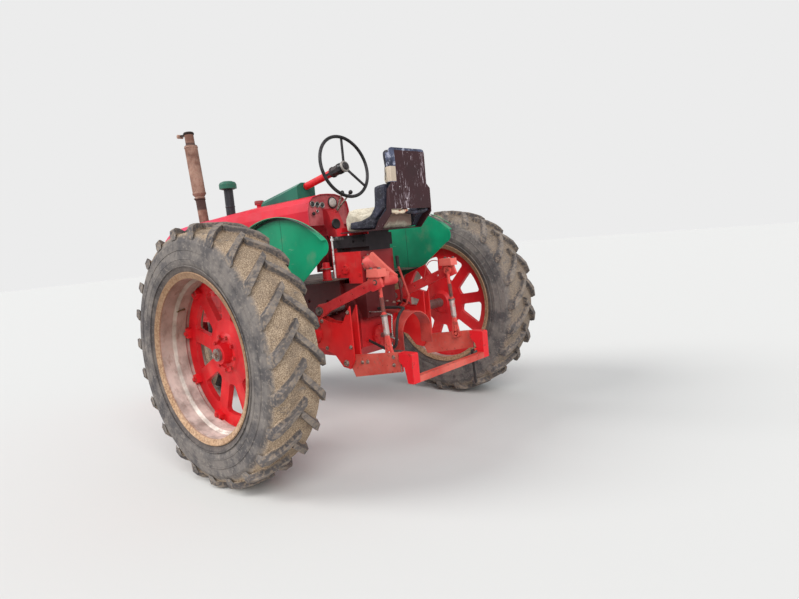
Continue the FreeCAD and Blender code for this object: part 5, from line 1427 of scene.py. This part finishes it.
# --- Drop brackets and hitch frame -------------------------------------------------------------
# Pairs of pointed plates clamped round the axle trumpets carry the hitch frame: two flat
# beams with welded end blocks and a square crossbar, sun-bleached except for the blocks.
bracket_enamel = sheet_paint("bracket_enamel", (228, 38, 38), (200, 28, 32), (214, 120, 104),
                             (104, 40, 36), 0.5, 0.4)
dress(bracket_enamel, "drop_bracket_left", "drop_bracket_right")
coat = Finish("hitch_enamel")
mottle = coat.patches(26, 5)
fine = coat.patches(170, 4)
lengthwise, outer = coat.axis("X"), abs(coat.axis("Y"))
faded = coat.tint(coat.between(coat.patches(5, 4), 0.35, 0.65), (196, 66, 56), (218, 100, 86))
grey = coat.between(coat.patches(38, 5), 0.52, 0.72)
faded = coat.tint(grey * 0.45, faded, (168, 112, 98))
block = 1 - coat.between(lengthwise, axle_x - 0.7595, axle_x - 0.7575)
block = block * coat.between(outer, 0.3445, 0.3455)
colour = coat.tint(block, faded, coat.tint(mottle, (216, 24, 34), (236, 36, 44)))
soil = coat.between(mottle + fine * 0.3, 0.74, 0.9)
colour = coat.tint(soil * 0.75, colour, (84, 42, 34))
bare = coat.edges(0.005) * coat.between(mottle, 0.46, 0.6)
colour = coat.tint(bare * 0.8, colour, (126, 96, 84))
leg = (1 - coat.between(outer, 0.3225, 0.3235)) * coat.between(outer, 0.20, 0.21)
leg = leg * coat.between(lengthwise, axle_x - 0.826, axle_x - 0.822)
colour = coat.tint(leg, colour, coat.tint(mottle, (22, 20, 22), (52, 44, 42)))
hitch_enamel = coat.wear(colour, 0.42 + soil * 0.3 + grey * 0.12, fine + mottle * 0.6 - bare * 0.4,
                         0.001, 0.5)
dress(hitch_enamel, "hitch_side_left", "hitch_side_right", "hitch_crossbar")
guard_enamel = cast_enamel("guard_enamel", (206, 78, 68), (150, 46, 44), 0.6, 0.8, 0.46)
dress(guard_enamel, "pto_guard")
for side, way in sides:
    heads = side_studs([(x, 412.2, z) for x, z in (
        (-355, 930), (-355, 700), (-90, 865), (60, 850), (60, 725), (-120, 680))],
        worn_bolt, 10.5, 9, (way,))
    heads += side_studs([(-300, 412.2, 590)], worn_bolt, 17, 13, (way,))
    settle("bracket_bolts_" + side, heads, worn_bolt, smooth=False)
    heads = side_studs([(x, 384.2, z) for x, z in (
        (-420, 600), (-470, 608), (-700, 655), (-700, 605))], worn_bolt, 9.5, 7, (way,))
    weld = along(way * 384.5, *((-759, z) for z in (566, 590, 615, 640, 665, 688)))
    heads.append(row(weld, 7.5, (4, 4, 5.2), hitch_enamel, sides=8))
    settle("hitch_heads_" + side, heads, worn_bolt, "hitch_frame")
settle("guard_bolts", studs([(x, y, 940) for x in (-410, -300) for y in (-25, 25)], (0, 0, 1),
                            worn_bolt, 10, 7), worn_bolt, smooth=False)
settle("shaft_splines", [bar([start, start + Vector((0.048, 0, 0))], 2.1, sides=1)
                         for start in around(spot(-368, 0, 700), 17.2, 6, (0, 1, 0), (0, 0, 1))],
       shaft_steel, smooth=False)

# A bent hand lever stands beside the seat base. A rubber pressure hose loops over the guard
# next to a bright release chain, and a thin return wire is hooked on the right arm.
lever = bar(route((-292, -180, 1180), (-318, -180, 1109), (-348, -180, 1022), (-371, -180, 959),
                  (-347, -180, 906), (-297, -179, 879), (-228, -166, 868)), 8.5, sides=5)
settle("lift_lever", lever, guard_enamel)
lever_grip = bar(route((-288, -180, 1251), (-293, -180, 1172)), 12.5, sides=6)
settle("lift_lever_grip", lever_grip, black_rubber)
hose = bar(route((-235, 40, 895), (-420, 60, 914), (-550, 78, 914), (-584, 137, 912),
                 (-584, 176, 884), (-584, 198, 838), (-584, 210, 788), (-584, 217, 737),
                 (-572, 214, 680), (-480, 190, 640), (-360, 130, 645), (-215, 110, 680)),
           9.5, curved=True, sides=5)
settle("pressure_hose", hose, black_rubber)
chain = row(route((-235, 120, 885), (-430, 186, 902), (-556, 212, 886), (-556, 223, 802),
                  (-556, 221, 736), (-556, 176, 716)), 12.5, (5.5, 3.6, 7.6), chrome, sides=8)
settle("release_chain", chain, chrome)
wire = bar(route((-560, -366, 1166), (-525, -366, 1186), (-460, -366, 1196), (-412, -366, 1170),
                 (-385, -366, 1110), (-372, -366, 1052)), 3.4, curved=True)
settle("arm_return_wire", wire, guard_enamel, "lift_arms")
